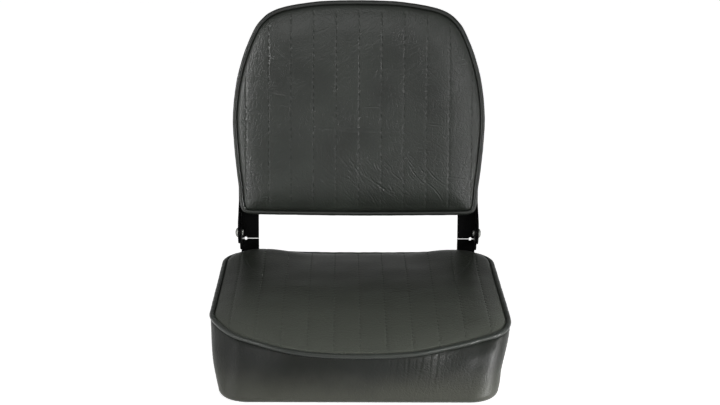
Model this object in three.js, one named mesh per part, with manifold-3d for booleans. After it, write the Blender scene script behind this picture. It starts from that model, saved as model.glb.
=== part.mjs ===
// Low-back folding boat seat. Pleated vinyl cushions lie on a ribbed, moulded seat pan and on a
// moulded back board, and two pairs of folded steel brackets join them at riveted pivots.
// Millimetres, X to the right, Y to the rear, Z up. The origin is the middle of the fixing
// pattern, on the plane that the pan rests on.

import * as THREE from 'three';
import { mergeVertices } from 'three/addons/utils/BufferGeometryUtils.js';
import Module from 'manifold-3d';

const wasm = await Module();
wasm.setup();

// Fits
const gap = 0.3; // between pieces that meet along curved or cut faces
const overrun = 6; // how far a cutter passes its work
const weldDistance = 0.0001;

// Seat cushion
const seatWidth = 431.6; // over the welt
const seatDepth = 419; // over the welt, front to rear
const seatSideHeight = 85.8; // welt centre above the rest plane, at the sides
const seatFrontDrop = 15.6; // how much lower the welt is at the middle of the front
const seatRearDrop = 6; // how much lower the welt is at the middle of the rear
const seatFrontBow = 76; // how far the front edge sweeps back at the sides
const seatFrontCornerWidth = 48;
const seatFrontCornerDepth = 125;
const seatRearTaper = 2.5; // how far each side draws in, from the front corners to the rear
const seatRearCorner = 67;
const seatCrown = 10;
const seatCrownReach = 60;
const seatBolster = 8; // how far the thighs' supports rise at the rear corners
const seatBolsterReach = 150;
const seatPleatPitch = 36.7;
const seatTaper = 22; // how far the sides draw in, from the welt to the pan
const seatFrontTaper = 0.5;
const seatBaseCorner = 42;
const seatBulge = 2;

// Backrest cushion
const backInset = 17.7; // welt of the back in from the welt of the seat, at its widest
const backHeight = 338; // over the welt, bottom to top
const backRear = 28.3; // welt centre ahead of the rear cover
const backCrown = 15;
const backCrownReach = 45;
const backPleatPitch = 35.4;
const backTaper = 5; // how far the sides draw in, from the welt to the rear cover
const backBulge = 0.8;
const backSag = 1.5; // how far the bottom edge hangs at its middle
const backOverPivot = 30.7; // bottom of the cushion above the pivot, along the back

// Sewn covers
const weltRadius = 3.6;
const weltProud = 1.6; // how far the welt stands out from the boxing
const vinylThickness = 1.8;
const panelThickness = 5; // pleated panel at a stitch line, with its sewn foam lining
const pleatRise = 1.5;
const seatHemWidth = 22;
const backHemWidth = 7;
const seatHemRound = 9; // height over which a boxing turns under
const backHemRound = 5;
const hemLift = 0.6; // hem above the plane that the cushion lies on
const pleatBorder = 9; // least width of the plain border outside the last stitch line

// Seat pan
const panDepth = 18;
const panDeck = 4;
const panSpan = 127; // square fixing pattern
const ribsPerSpan = 3;
const ribThickness = 3.5;
const ribMargin = 5; // solid edge outside the outermost pockets
const bossRadius = 12;
const insertRadius = 5.5;
const insertBore = 3.2;
const insertLength = 12.5;
const towerWidth = 26;
const towerDepth = 15;
const towerOverBolt = 11.1; // top of a hinge tower above its higher bolt
const towerGusset = 26;

// Back board and its rear cover
const boardThickness = 10;
const coverThickness = 1.5;
const coverInset = 4;

// Hinge brackets
const plateThickness = 2.5;
const bendRadius = 3.5; // outside of the fold
const hingeInset = 25; // outer face of the upper side flange in from the seat's side
const washerThickness = 0.3;
const plateClearance = 0.1; // on each side of the washer and under the rivet head
const flangeWidth = 28.5; // rear flange of the lower plate, and the upper one ends level with it
const pivotOverWelt = 31.3; // pivot above the top of the seat's welt
const pivotToFlange = 17.8; // pivot to the front face of the rear flange
const backLean = THREE.MathUtils.degToRad(8);
const slitHeight = 2.2; // between the lower and the upper rear flange
const slitBelowPivot = 15.4;
const notchRadius = 2.2; // bend relief at the slit
const notchFromFold = 7.6;
const stopClearance = 0.4;
const lowerLobe = 15; // radius of the lower plate's end round the pivot
const upperLobe = 17.5;
const upperFlangeLength = 110; // above the slit
const upperLipDepth = 7; // side flange ahead of the rear flange at its top
const plateCorner = 6;
const hingeOverWelt = 5.9; // lower side flange above the welt

// Fasteners
const boltRadius = 3;
const boltHeadRadius = 6.2;
const boltHeadHeight = 3.6;
const boltClearance = 0.35;
const teeFlangeRadius = 8;
const teeFlangeThickness = 1.5;
const teeBarrelRadius = 4.4;
const teeBarrelLength = 7;
const boltTip = 3; // bolt past its tee nut
const boltFromEdge = 11.2; // bolt axis from the inner edge of the flanges
const lowerBoltBelowWelt = 22.9; // highest lower bolt below the welt's centre at the sides
const lowerBoltPitch = 26;
const lowerBoltEdge = 14; // lowest bolt above the end of the lower rear flange
const upperBoltPitch = 26;
const upperBoltEdge = 12; // highest bolt below the end of the upper rear flange
const rivetRadius = 4;
const rivetHeadRadius = 8;
const rivetHeadHeight = 5;
const rivetTailRadius = 5.2;
const rivetTailHeight = 2.4;
const washerRadius = 11;

// Outline of the backrest from the middle of its bottom edge to the middle of its top edge
const backOutlineShares = [
  [0, 0], [0.45, 0.001], [0.8, 0.002], [0.89, 0.006], [0.93, 0.022], [0.948, 0.062],
  [0.957, 0.13], [0.98, 0.249], [0.999, 0.398], [0.997, 0.498], [0.968, 0.627], [0.91, 0.752],
  [0.83, 0.862], [0.765, 0.913], [0.69, 0.946], [0.56, 0.972], [0.3, 0.995], [0, 1],
];

// Counts
const frontSteps = 4;
const cornerSteps = 5;
const bendSteps = 4;
const sideSteps = 2;
const rearSteps = 2;
const backStationsPerShare = 1.5;
const weltSides = 6;
const roundSides = 16;
const smallSides = 10;
const lobeSteps = 10;

// Shares of a pleat, of a cushion's depth and of a boxing's height where the surface has a line
const pleatColumnShares = [0, 0.14, 0.5, 0.86];
const borderColumnShares = [0.25, 0.55, 0.85, 1];
const rowShares = [-0.03, 0.01, 0.04, 0.1, 0.2, 0.5, 0.8, 0.9, 0.96, 0.99, 1.03];
const liningRowShares = [-0.03, 0.01, 0.1, 0.3, 0.7, 0.9, 0.99, 1.03];
const boxingShares = [0.4, 0.75, 1];
const pleatEdgeShare = 0.3; // pleat height left where the panel meets the welt
const hemTurnShare = 0.28; // where a boxing's round has its middle line
const skinTurnShare = 0.7; // of the thickness between two skins there
const dipStartShare = 0.3; // of the seat's half depth, where the welt's dip begins and is full
const dipFullShare = 0.75;
const headTopShare = 0.7; // flat on top of a bolt head, of its radius
const tailTopShare = 0.8;
const dipPower = 2.2;
const pleatPower = 2.4;

const vinyl = new THREE.MeshStandardMaterial({ color: 0x4a4c48, roughness: 0.55, metalness: 0 });
const welting = new THREE.MeshStandardMaterial({ color: 0x3c3e3b, roughness: 0.5, metalness: 0 });
const foam = new THREE.MeshStandardMaterial({ color: 0xd8cfae, roughness: 0.95, metalness: 0 });
const plastic = new THREE.MeshStandardMaterial({ color: 0x2b2c2b, roughness: 0.6, metalness: 0 });
const paint = new THREE.MeshStandardMaterial({ color: 0x1d1e1e, roughness: 0.45, metalness: 0.3 });
const steel = new THREE.MeshStandardMaterial({ color: 0x9a9b98, roughness: 0.35, metalness: 1 });
const brass = new THREE.MeshStandardMaterial({ color: 0xb59a55, roughness: 0.4, metalness: 1 });
const nylon = new THREE.MeshStandardMaterial({ color: 0xe4e2da, roughness: 0.6, metalness: 0 });

// Solids and their geometry

function faceOutward(geometry) {
  const place = geometry.attributes.position;
  const index = geometry.index.array;
  const corners = [new THREE.Vector3(), new THREE.Vector3(), new THREE.Vector3()];
  let volume = 0;
  for (let i = 0; i < index.length; i += 3) {
    corners.forEach((corner, k) => corner.fromBufferAttribute(place, index[i + k]));
    volume += corners[0].dot(corners[1].clone().cross(corners[2]));
  }
  if (volume < 0) {
    index.reverse();
  }
  return geometry;
}

function toSolid(geometry) {
  const bare = geometry.clone();
  bare.deleteAttribute('normal');
  bare.deleteAttribute('uv');
  const merged = faceOutward(mergeVertices(bare, weldDistance));
  const triVerts = Uint32Array.from(merged.index.array);
  const vertProperties = Float32Array.from(merged.attributes.position.array);
  return new wasm.Manifold(new wasm.Mesh({ numProp: 3, vertProperties, triVerts }));
}

function toGeometry(solid) {
  const mesh = solid.getMesh();
  const geometry = new THREE.BufferGeometry();
  geometry.setAttribute('position', new THREE.BufferAttribute(mesh.vertProperties, 3));
  geometry.setIndex(new THREE.BufferAttribute(mesh.triVerts, 1));
  geometry.computeVertexNormals();
  return geometry;
}

function addPiece(parent, name, solid, material) {
  const mesh = new THREE.Mesh(toGeometry(solid), material);
  mesh.name = name;
  parent.add(mesh);
}

function joined(solids) {
  return solids.reduce((whole, solid) => whole.add(solid));
}

function without(solid, cutters) {
  return cutters.reduce((rest, cutter) => rest.subtract(cutter), solid);
}

function extruded(points, depth) {
  const shape = new THREE.Shape(points.map(([u, v]) => new THREE.Vector2(u, v)));
  return new THREE.ExtrudeGeometry(shape, { depth, bevelEnabled: false, steps: 1 });
}

// A plan outline raised between two heights
function prismZ(points, low, high) {
  return toSolid(extruded(points, high - low).translate(0, 0, low));
}

// An outline of X and Z, made solid between two places along Y
function prismY(points, front, rear) {
  return toSolid(extruded(points, rear - front).rotateX(Math.PI / 2).translate(0, rear, 0));
}

// An outline of Y and Z, made solid between two places along X
function prismX(points, left, right) {
  const turn = new THREE.Matrix4().makeBasis(
    new THREE.Vector3(0, 1, 0), new THREE.Vector3(0, 0, 1), new THREE.Vector3(1, 0, 0));
  return toSolid(extruded(points, right - left).applyMatrix4(turn).translate(left, 0, 0));
}

function block(low, high) {
  const size = high.map((value, k) => value - low[k]);
  const middle = high.map((value, k) => (value + low[k]) / 2);
  return toSolid(new THREE.BoxGeometry(...size).translate(...middle));
}

// A round bar along Y, from its front end to its rear end
function barY(radius, x, z, front, rear) {
  const bar = new THREE.CylinderGeometry(radius, radius, rear - front, smallSides);
  return toSolid(bar.translate(x, (front + rear) / 2, z));
}

function barX(radius, y, z, left, right) {
  const bar = new THREE.CylinderGeometry(radius, radius, right - left, roundSides);
  return toSolid(bar.rotateZ(Math.PI / 2).translate((left + right) / 2, y, z));
}

function barZ(radius, x, y, low, high, sides = smallSides) {
  const bar = new THREE.CylinderGeometry(radius, radius, high - low, sides);
  return toSolid(bar.rotateX(Math.PI / 2).translate(x, y, (low + high) / 2));
}

function revolved(profile, sides) {
  return new THREE.LatheGeometry(profile.map(([r, h]) => new THREE.Vector2(r, h)), sides);
}

// A body skinned over rings of equal length; a hoop closes on its first ring, others are capped.
// Each face between two rings is split along its shorter diagonal, so neighbours fit.
function lofted(rings, hoop = false) {
  const count = rings[0].length;
  const positions = rings.flat(2);
  const index = [];
  const last = hoop ? rings.length : rings.length - 1;
  for (let j = 0; j < last; j += 1) {
    const next = (j + 1) % rings.length;
    for (let i = 0; i < count; i += 1) {
      const k = (i + 1) % count;
      const [a, b, c, d] = [j * count + i, j * count + k, next * count + k, next * count + i];
      const corner = (n) => new THREE.Vector3().fromArray(positions, 3 * n);
      const split = corner(a).distanceTo(corner(c)) < corner(b).distanceTo(corner(d));
      index.push(...(split ? [a, b, c, a, c, d] : [a, b, d, b, c, d]));
    }
  }
  if (!hoop) {
    [0, rings.length - 1].forEach((ring, end) => {
      const middle = positions.length / 3;
      const mean = (axis) => rings[ring].reduce((sum, point) => sum + point[axis], 0) / count;
      positions.push(mean(0), mean(1), mean(2));
      for (let i = 0; i < count; i += 1) {
        const pair = [ring * count + i, ring * count + ((i + 1) % count)];
        index.push(middle, ...(end === 0 ? pair.reverse() : pair));
      }
    });
  }
  const geometry = new THREE.BufferGeometry();
  geometry.setAttribute('position', new THREE.Float32BufferAttribute(positions, 3));
  geometry.setIndex(index);
  return toSolid(geometry);
}

// Outlines in plan

function mirrored(half) {
  const left = half.slice(1, -1).reverse().map(([x, y]) => [-x, y]);
  return [...half, ...left];
}

function inset(ring, distances) {
  return ring.map(([x, y], i) => {
    const before = ring[(i + ring.length - 1) % ring.length];
    const after = ring[(i + 1) % ring.length];
    const first = new THREE.Vector2(before[1] - y, x - before[0]).normalize();
    const second = new THREE.Vector2(y - after[1], after[0] - x).normalize();
    const normal = first.clone().add(second).normalize();
    const distance = Array.isArray(distances) ? distances[i] : distances;
    const reach = distance / normal.dot(first);
    return [x + normal.x * reach, y + normal.y * reach];
  });
}

// Where a corner is tighter than its inset, the points that have turned back are left out
function unfolded(ring, source) {
  let pairs = ring.map((point, i) => ({ point, from: source[i] }));
  let before = 0;
  while (pairs.length !== before) {
    before = pairs.length;
    pairs = pairs.filter(({ point, from }, i) => {
      const next = pairs[(i + 1) % pairs.length];
      const along = (next.point[0] - point[0]) * (next.from[0] - from[0]);
      const across = (next.point[1] - point[1]) * (next.from[1] - from[1]);
      return along + across > 0;
    });
  }
  return pairs.map(({ point }) => point);
}

// A rounded seat outline; the bow sweeps the front edge back toward the corners
function seatOutline(halfWidth, front, rear, bow, cornerWidth, cornerDepth, rearRadius) {
  const bowPower = 2.6;
  const widest = front + cornerDepth;
  const half = [];
  const place = (x, y) => {
    const cornerShare = THREE.MathUtils.clamp((widest - y) / cornerDepth, 0, 1);
    const rearShare = THREE.MathUtils.clamp((y - widest) / (rear - widest), 0, 1);
    const drawnIn = (x / halfWidth) * seatRearTaper * rearShare;
    half.push([x - drawnIn, y + bow * Math.pow(x / halfWidth, bowPower) * cornerShare]);
  };
  for (let i = 0; i < frontSteps; i += 1) {
    place(((halfWidth - cornerWidth) * i) / frontSteps, front);
  }
  for (let i = 0; i <= cornerSteps; i += 1) {
    const turn = (Math.PI / 2) * (i / cornerSteps);
    const x = halfWidth - cornerWidth * (1 - Math.sin(turn));
    place(x, front + cornerDepth * (1 - Math.cos(turn)));
  }
  const sideLength = rear - rearRadius - widest;
  for (let i = 1; i < sideSteps; i += 1) {
    place(halfWidth, widest + (sideLength * i) / sideSteps);
  }
  for (let i = 0; i <= cornerSteps; i += 1) {
    const turn = (Math.PI / 2) * (i / cornerSteps);
    place(halfWidth - rearRadius * (1 - Math.cos(turn)), rear - rearRadius * (1 - Math.sin(turn)));
  }
  for (let i = 1; i <= rearSteps; i += 1) {
    place((halfWidth - rearRadius) * (1 - i / rearSteps), rear);
  }
  return mirrored(half);
}

const backWidth = seatWidth - backInset * 2;

function backOutline() {
  const points = backOutlineShares.map(([across, up]) => {
    const sag = backSag * (1 - across * across) * (1 - up) ** 8;
    return new THREE.Vector2((across * backWidth) / 2, up * backHeight - sag);
  });
  const curve = new THREE.SplineCurve(points);
  const half = curve.getPoints(Math.round((points.length - 1) * backStationsPerShare));
  half[half.length - 1].x = 0;
  return mirrored(half.map((point) => [point.x, point.y]));
}

function distanceInside(outline, x, y) {
  let nearest = Infinity;
  let within = false;
  outline.forEach(([x0, y0], i) => {
    const [x1, y1] = outline[(i + 1) % outline.length];
    const along = new THREE.Vector2(x1 - x0, y1 - y0);
    const to = new THREE.Vector2(x - x0, y - y0);
    const t = THREE.MathUtils.clamp(to.dot(along) / along.lengthSq(), 0, 1);
    nearest = Math.min(nearest, to.distanceTo(along.multiplyScalar(t)));
    if (y0 > y !== y1 > y && x < x0 + ((x1 - x0) * (y - y0)) / (y1 - y0)) {
      within = !within;
    }
  });
  return within ? nearest : 0;
}

// Lowest and highest Y of an outline on the line of one X
function spanAcross(outline, x) {
  const widest = Math.max(...outline.map((point) => point[0]));
  const edgeShare = 0.985;
  const held = THREE.MathUtils.clamp(x, -widest * edgeShare, widest * edgeShare);
  const crossings = [];
  outline.forEach(([x0, y0], i) => {
    const [x1, y1] = outline[(i + 1) % outline.length];
    if (x0 > held !== x1 > held) {
      crossings.push(y0 + ((y1 - y0) * (held - x0)) / (x1 - x0));
    }
  });
  return [Math.min(...crossings), Math.max(...crossings)];
}

// Cushions. Each lies on its base with its plan in X and Y and its height in Z.

// A block with a flat floor and a modelled top, over columns of X and rows between the edges
function crownBlock(outline, columns, rows, heightAt, floor) {
  const top = columns.map((x) => {
    const [near, far] = spanAcross(outline, x);
    return rows.map((share) => {
      const y = near + (far - near) * share;
      return [x, y, heightAt(x, y)];
    });
  });
  const wide = columns.length;
  const long = rows.length;
  const base = top.map((column) => column.map(([x, y]) => [x, y, floor]));
  const positions = [top, base].flat(3);
  const index = [];
  const at = (layer, i, j) => layer * wide * long + i * long + j;
  const quad = (a, b, c, d) => index.push(a, b, c, a, c, d);
  for (let i = 0; i + 1 < wide; i += 1) {
    for (let j = 0; j + 1 < long; j += 1) {
      quad(at(0, i, j), at(0, i + 1, j), at(0, i + 1, j + 1), at(0, i, j + 1));
      quad(at(1, i, j), at(1, i, j + 1), at(1, i + 1, j + 1), at(1, i + 1, j));
    }
    quad(at(1, i, 0), at(1, i + 1, 0), at(0, i + 1, 0), at(0, i, 0));
    quad(at(0, i, long - 1), at(0, i + 1, long - 1), at(1, i + 1, long - 1), at(1, i, long - 1));
  }
  for (let j = 0; j + 1 < long; j += 1) {
    quad(at(0, 0, j), at(0, 0, j + 1), at(1, 0, j + 1), at(1, 0, j));
    quad(at(1, wide - 1, j), at(1, wide - 1, j + 1), at(0, wide - 1, j + 1), at(0, wide - 1, j));
  }
  const geometry = new THREE.BufferGeometry();
  geometry.setAttribute('position', new THREE.Float32BufferAttribute(positions, 3));
  geometry.setIndex(index);
  return toSolid(geometry);
}

// How full the crown is at a place: nothing at the welt, one beyond its reach
function crownShare(outline, x, y, reach) {
  const inside = Math.max(0, distanceInside(outline, x, y) - weltRadius * 2 - gap);
  const rest = 1 - Math.min(1, inside / reach);
  return Math.sqrt(1 - rest * rest);
}

function pleatShare(x, pitch, halfCount) {
  if (Math.abs(x) >= pitch * halfCount) {
    return 0;
  }
  const across = x / pitch - Math.floor(x / pitch);
  return 1 - Math.abs(2 * across - 1) ** pleatPower;
}

// The rings of a cover's side, from the inner edge of its hem, round the base and up to the
// welt, all moved inward by one thickness
function coverRings(cushion, thickness) {
  const { base, top, weltAt, hemFloor, hemWidth, hemRound, bulgeAt } = cushion;
  const highAt = top.map(([x, y]) => weltAt(x, y) - weltRadius - gap);
  const level = (ring, heights) => ring.map(([x, y], i) => [x, y, heights[i]]);
  const flat = (height) => base.map(() => height);
  const turned = hemRound * hemTurnShare;
  const skinTurned = turned + thickness * skinTurnShare;
  const rings = [
    level(inset(base, hemWidth), flat(hemFloor + thickness)),
    level(inset(base, hemRound), flat(hemFloor + thickness)),
    level(inset(base, skinTurned), flat(hemFloor + skinTurned)),
    level(inset(base, thickness), flat(hemFloor + hemRound)),
  ];
  boxingShares.forEach((share) => {
    const swell = 4 * share * (1 - share);
    const plan = base.map(([x, y], i) => {
      return [x + (top[i][0] - x) * share, y + (top[i][1] - y) * share];
    });
    const heights = highAt.map((high) => hemFloor + hemRound + (high - hemFloor - hemRound) * share);
    const moves = top.map(([x, y]) => thickness - bulgeAt(x, y) * swell);
    rings.push(level(inset(plan, moves), heights));
  });
  return rings;
}

// The ring of a cover's side at one height, on its faces
function ringAtHeight(rings, height) {
  return rings[0].map((point, i) => {
    const next = rings.findIndex((ring, j) => j > 0 && ring[i][2] > height);
    const [x0, y0, z0] = rings[next - 1][i];
    const [x1, y1, z1] = rings[next][i];
    const t = (height - z0) / (z1 - z0);
    return [x0 + (x1 - x0) * t, y0 + (y1 - y0) * t, height];
  });
}

function boxing(cushion) {
  const outer = coverRings(cushion, 0);
  const inner = coverRings(cushion, vinylThickness);
  return lofted([...outer, ...inner.reverse()], true);
}

function welt(cushion) {
  const centre = inset(cushion.outline, weltRadius);
  const rings = [];
  for (let side = 0; side < weltSides; side += 1) {
    const turn = (2 * Math.PI * side) / weltSides;
    const ring = inset(cushion.outline, weltRadius * (1 - Math.cos(turn)));
    rings.push(ring.map(([x, y], i) => {
      return [x, y, cushion.weltAt(...centre[i]) + weltRadius * Math.sin(turn)];
    }));
  }
  return lofted(rings, true);
}

function columnsFor(cushion, shares) {
  const { pitch, halfCount, outline } = cushion;
  const widest = Math.max(...outline.map((point) => point[0]));
  const columns = [];
  for (let channel = -halfCount; channel < halfCount; channel += 1) {
    shares.forEach((share) => columns.push((channel + share) * pitch));
  }
  columns.push(halfCount * pitch);
  const edge = widest - halfCount * pitch;
  borderColumnShares.forEach((share) => {
    columns.push(halfCount * pitch + edge * share);
    columns.unshift(-halfCount * pitch - edge * share);
  });
  columns.push(widest + overrun);
  columns.unshift(-widest - overrun);
  return columns;
}

function lining(cushion, drop) {
  const columns = columnsFor(cushion, [0]);
  const heightAt = (x, y) => cushion.surfaceAt(x, y) - drop;
  return crownBlock(cushion.outline, columns, liningRowShares, heightAt, 0);
}

function pleatedPanel(cushion) {
  const { outline, pitch, halfCount, surfaceAt, reach } = cushion;
  const heightAt = (x, y) => {
    const fullShare = pleatEdgeShare + (1 - pleatEdgeShare) * crownShare(outline, x, y, reach);
    return surfaceAt(x, y) + pleatRise * fullShare * pleatShare(x, pitch, halfCount);
  };
  const columns = columnsFor(cushion, pleatColumnShares);
  const puffed = crownBlock(outline, columns, rowShares, heightAt, 0);
  const high = cushion.highest + overrun;
  const cut = puffed.intersect(prismZ(inset(outline, weltRadius * 2 + gap), 0, high));
  return cut.subtract(lining(cushion, panelThickness));
}

function foamBlock(cushion, low) {
  const sides = coverRings(cushion, vinylThickness + gap);
  const rings = [ringAtHeight(sides, low), ...sides.filter((ring) => ring[0][2] > low + overrun)];
  const last = sides[sides.length - 1];
  rings.push(last.map(([x, y]) => [x, y, cushion.highest + overrun]));
  return lofted(rings).intersect(lining(cushion, panelThickness + gap * 2));
}

// The moulded body that a cushion is built on: its rim stands over the hem, its middle fills
// the hem's inside down to the base plane
function chassis(cushion, floor, high) {
  const sides = coverRings(cushion, vinylThickness + gap);
  const rim = lofted([sides[1], sides[2], sides[3], ringAtHeight(sides, high)]);
  const core = unfolded(inset(cushion.base, cushion.hemWidth + gap), cushion.base);
  return rim.add(prismZ(core, floor, high));
}

// Seat

const seatRear = seatDepth / 2;
const seatFront = -seatDepth / 2;

function seatWeltAt(x, y) {
  const across = Math.min(1, Math.abs(x) / (seatWidth / 2 - weltRadius));
  const dip = 1 - across ** dipPower;
  const forwardShare = THREE.MathUtils.smoothstep(-y, seatFront * dipStartShare,
    -seatFront * dipFullShare);
  const rearShare = THREE.MathUtils.smoothstep(y, 0, seatRear);
  return seatSideHeight - seatFrontDrop * dip * forwardShare - seatRearDrop * dip * rearShare;
}

const seatPlan = seatOutline(seatWidth / 2, seatFront, seatRear, seatFrontBow,
  seatFrontCornerWidth, seatFrontCornerDepth, seatRearCorner);

const seatCushion = {
  outline: seatPlan,
  top: inset(seatPlan, weltProud),
  base: seatOutline(seatWidth / 2 - seatTaper, seatFront + seatFrontTaper, seatRear - weltProud, 0,
    seatBaseCorner, seatBaseCorner, seatBaseCorner),
  weltAt: seatWeltAt,
  hemFloor: hemLift,
  hemWidth: seatHemWidth,
  hemRound: seatHemRound,
  bulgeAt: (x, y) => seatBulge * THREE.MathUtils.smoothstep(seatRear - y, 0, seatRearCorner),
  pitch: seatPleatPitch,
  halfCount: Math.floor((seatWidth / 2 - weltRadius * 2 - pleatBorder) / seatPleatPitch),
  reach: seatCrownReach,
  highest: seatSideHeight + seatCrown + seatBolster + pleatRise,
  surfaceAt: (x, y) => {
    const full = crownShare(seatPlan, x, y, seatCrownReach);
    const sideShare = THREE.MathUtils.smoothstep(Math.abs(x), seatWidth / 6, seatWidth / 3);
    const rearShare = THREE.MathUtils.smoothstep(y, seatRear - seatBolsterReach, seatRear);
    return seatWeltAt(x, y) + full * (seatCrown + seatBolster * sideShare * rearShare);
  },
};

const hingeSides = [['left', -1], ['right', 1]];
const hingeOuter = seatWidth / 2 - hingeInset;
const pivotHeight = seatSideHeight + weltRadius + pivotOverWelt;
const slitCentre = pivotHeight - slitBelowPivot;
const lowerOuter = hingeOuter - plateThickness - washerThickness - plateClearance * 2;
const flangeFront = seatRear + gap;
const pivotY = flangeFront - pivotToFlange;
const slitLow = slitCentre - slitHeight / 2;
const slitHigh = slitCentre + slitHeight / 2;
const flangeInner = lowerOuter - flangeWidth;
const boltX = flangeInner + boltFromEdge;
const highBolt = seatSideHeight - lowerBoltBelowWelt;
const lowerBoltHeights = [highBolt - lowerBoltPitch, highBolt];
const lowerEnd = highBolt - lowerBoltPitch - lowerBoltEdge;
const towerFront = seatRear - weltProud - vinylThickness - gap - towerDepth;
const teeReach = teeFlangeThickness + gap;

function hingeTower(side, grow) {
  const near = side * (boltX - towerWidth / 2 - grow);
  const far = side * (boltX + towerWidth / 2 + grow);
  const high = highBolt + towerOverBolt + grow;
  const post = block(
    [Math.min(near, far), towerFront - grow, panDepth / 2],
    [Math.max(near, far), seatRear + overrun, high]);
  const ribLow = panDepth - grow;
  const rib = prismX([
    [towerFront - towerGusset - grow, ribLow],
    [towerFront + towerDepth / 2, ribLow],
    [towerFront + towerDepth / 2, high - towerDepth],
    [towerFront - grow, high - towerDepth],
  ], side * boltX - ribThickness / 2 - grow, side * boltX + ribThickness / 2 + grow);
  return post.add(rib);
}

function panPockets() {
  const pitch = panSpan / ribsPerSpan;
  const core = prismZ(inset(seatCushion.base, seatHemWidth + gap + ribMargin), -overrun, panDepth);
  const reach = Math.floor(seatWidth / pitch / 2);
  const half = (pitch - ribThickness) / 2;
  const cells = [];
  for (let i = -reach; i <= reach; i += 1) {
    for (let j = -reach; j <= reach; j += 1) {
      cells.push(block(
        [i * pitch - half, j * pitch - half, -overrun],
        [i * pitch + half, j * pitch + half, panDepth - panDeck]));
    }
  }
  return cells.map((cell) => cell.intersect(core)).filter((cell) => !cell.isEmpty());
}

const bossPlaces = [];
[['front', -1], ['rear', 1]].forEach(([row, forward]) => {
  hingeSides.forEach(([name, side]) => {
    bossPlaces.push([`pan_insert_${row}_${name}`, (side * panSpan) / 2, (forward * panSpan) / 2]);
  });
});

function seatPan() {
  const bodyInside = coverRings(seatCushion, vinylThickness + gap * 3);
  const inside = lofted([
    ringAtHeight(bodyInside, panDepth / 2),
    ...bodyInside.filter((ring) => ring[0][2] > panDepth),
  ]);
  const bosses = [['middle', 0, 0], ...bossPlaces].map(([, x, y]) => {
    return barZ(bossRadius, x, y, 0, panDepth - panDeck, roundSides);
  });
  const bores = bossPlaces.map(([, x, y]) => {
    return barZ(insertRadius + gap, x, y, -overrun, insertLength + gap * 2);
  });
  const towers = hingeSides.map(([, side]) => hingeTower(side, 0).intersect(inside));
  const boltBores = hingeSides.flatMap(([, side]) => lowerBoltHeights.flatMap((z) => [
    barY(boltRadius + boltClearance, side * boltX, z, towerFront - overrun, seatRear + overrun),
    barY(teeBarrelRadius + gap, side * boltX, z, towerFront - overrun,
      towerFront + teeBarrelLength + gap),
    barY(teeFlangeRadius + gap, side * boltX, z, towerFront - towerGusset - overrun, towerFront),
  ]));
  const tray = without(chassis(seatCushion, 0, panDepth), panPockets());
  return without(joined([tray, ...bosses, ...towers]), [...bores, ...boltBores]);
}

function seatFoam() {
  const towers = hingeSides.map(([, side]) => hingeTower(side, gap));
  const boltRoom = hingeSides.flatMap(([, side]) => lowerBoltHeights.flatMap((z) => [
    barY(teeFlangeRadius + gap, side * boltX, z, towerFront - teeReach, towerFront + gap),
    barY(boltRadius + gap * 2, side * boltX, z, towerFront - boltTip - gap - teeReach, towerFront),
  ]));
  return without(foamBlock(seatCushion, panDepth), [...towers, ...boltRoom]);
}

function seatBoxing() {
  const holes = hingeSides.flatMap(([, side]) => lowerBoltHeights.map((z) => {
    const radius = boltRadius + boltClearance;
    return barY(radius, side * boltX, z, seatRear - overrun * 2, seatRear + overrun);
  }));
  return without(boxing(seatCushion), holes);
}

// Folded brackets. A blank of two legs is cut to the outlines of its flanges.

function foldedBlank(side, outer, front, low, high) {
  const rear = front + plateThickness;
  const innerRadius = bendRadius - plateThickness;
  const points = [[flangeInner, front], [outer - bendRadius, front]];
  const arc = (radius, step) => {
    const turn = (Math.PI / 2) * (step / bendSteps);
    const middle = [outer - bendRadius, rear - bendRadius];
    return [middle[0] + radius * Math.sin(turn), middle[1] + radius * Math.cos(turn)];
  };
  for (let step = 1; step <= bendSteps; step += 1) {
    points.push(arc(innerRadius, step));
  }
  const reach = front - pivotToFlange - upperLobe - overrun;
  points.push([outer - plateThickness, reach], [outer, reach]);
  for (let step = bendSteps; step >= 0; step -= 1) {
    points.push(arc(bendRadius, step));
  }
  points.push([flangeInner, rear]);
  return prismZ(points.map(([x, y]) => [side * x, y]), low, high);
}

function arcPoints(middle, radius, from, to, steps) {
  const points = [];
  for (let i = 0; i <= steps; i += 1) {
    const turn = from + ((to - from) * i) / steps;
    points.push([middle[0] + radius * Math.cos(turn), middle[1] + radius * Math.sin(turn)]);
  }
  return points;
}

// Outline of a rear flange in X and Z with its free corners rounded
function rearFlangeOutline(side, outer, low, high, roundedAtTop) {
  const inner = flangeInner;
  const r = plateCorner;
  const free = roundedAtTop ? high - r : low + r;
  const from = roundedAtTop ? Math.PI : Math.PI * 1.5;
  const round = arcPoints([inner + r, free], r, roundedAtTop ? Math.PI / 2 : from,
    Math.PI, bendSteps);
  const points = roundedAtTop
    ? [[inner, low], [outer + overrun, low], [outer + overrun, high], ...round]
    : [...round.reverse(), [outer + overrun, low], [outer + overrun, high], [inner, high]];
  return points.map(([x, z]) => [side * x, z]);
}

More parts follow.
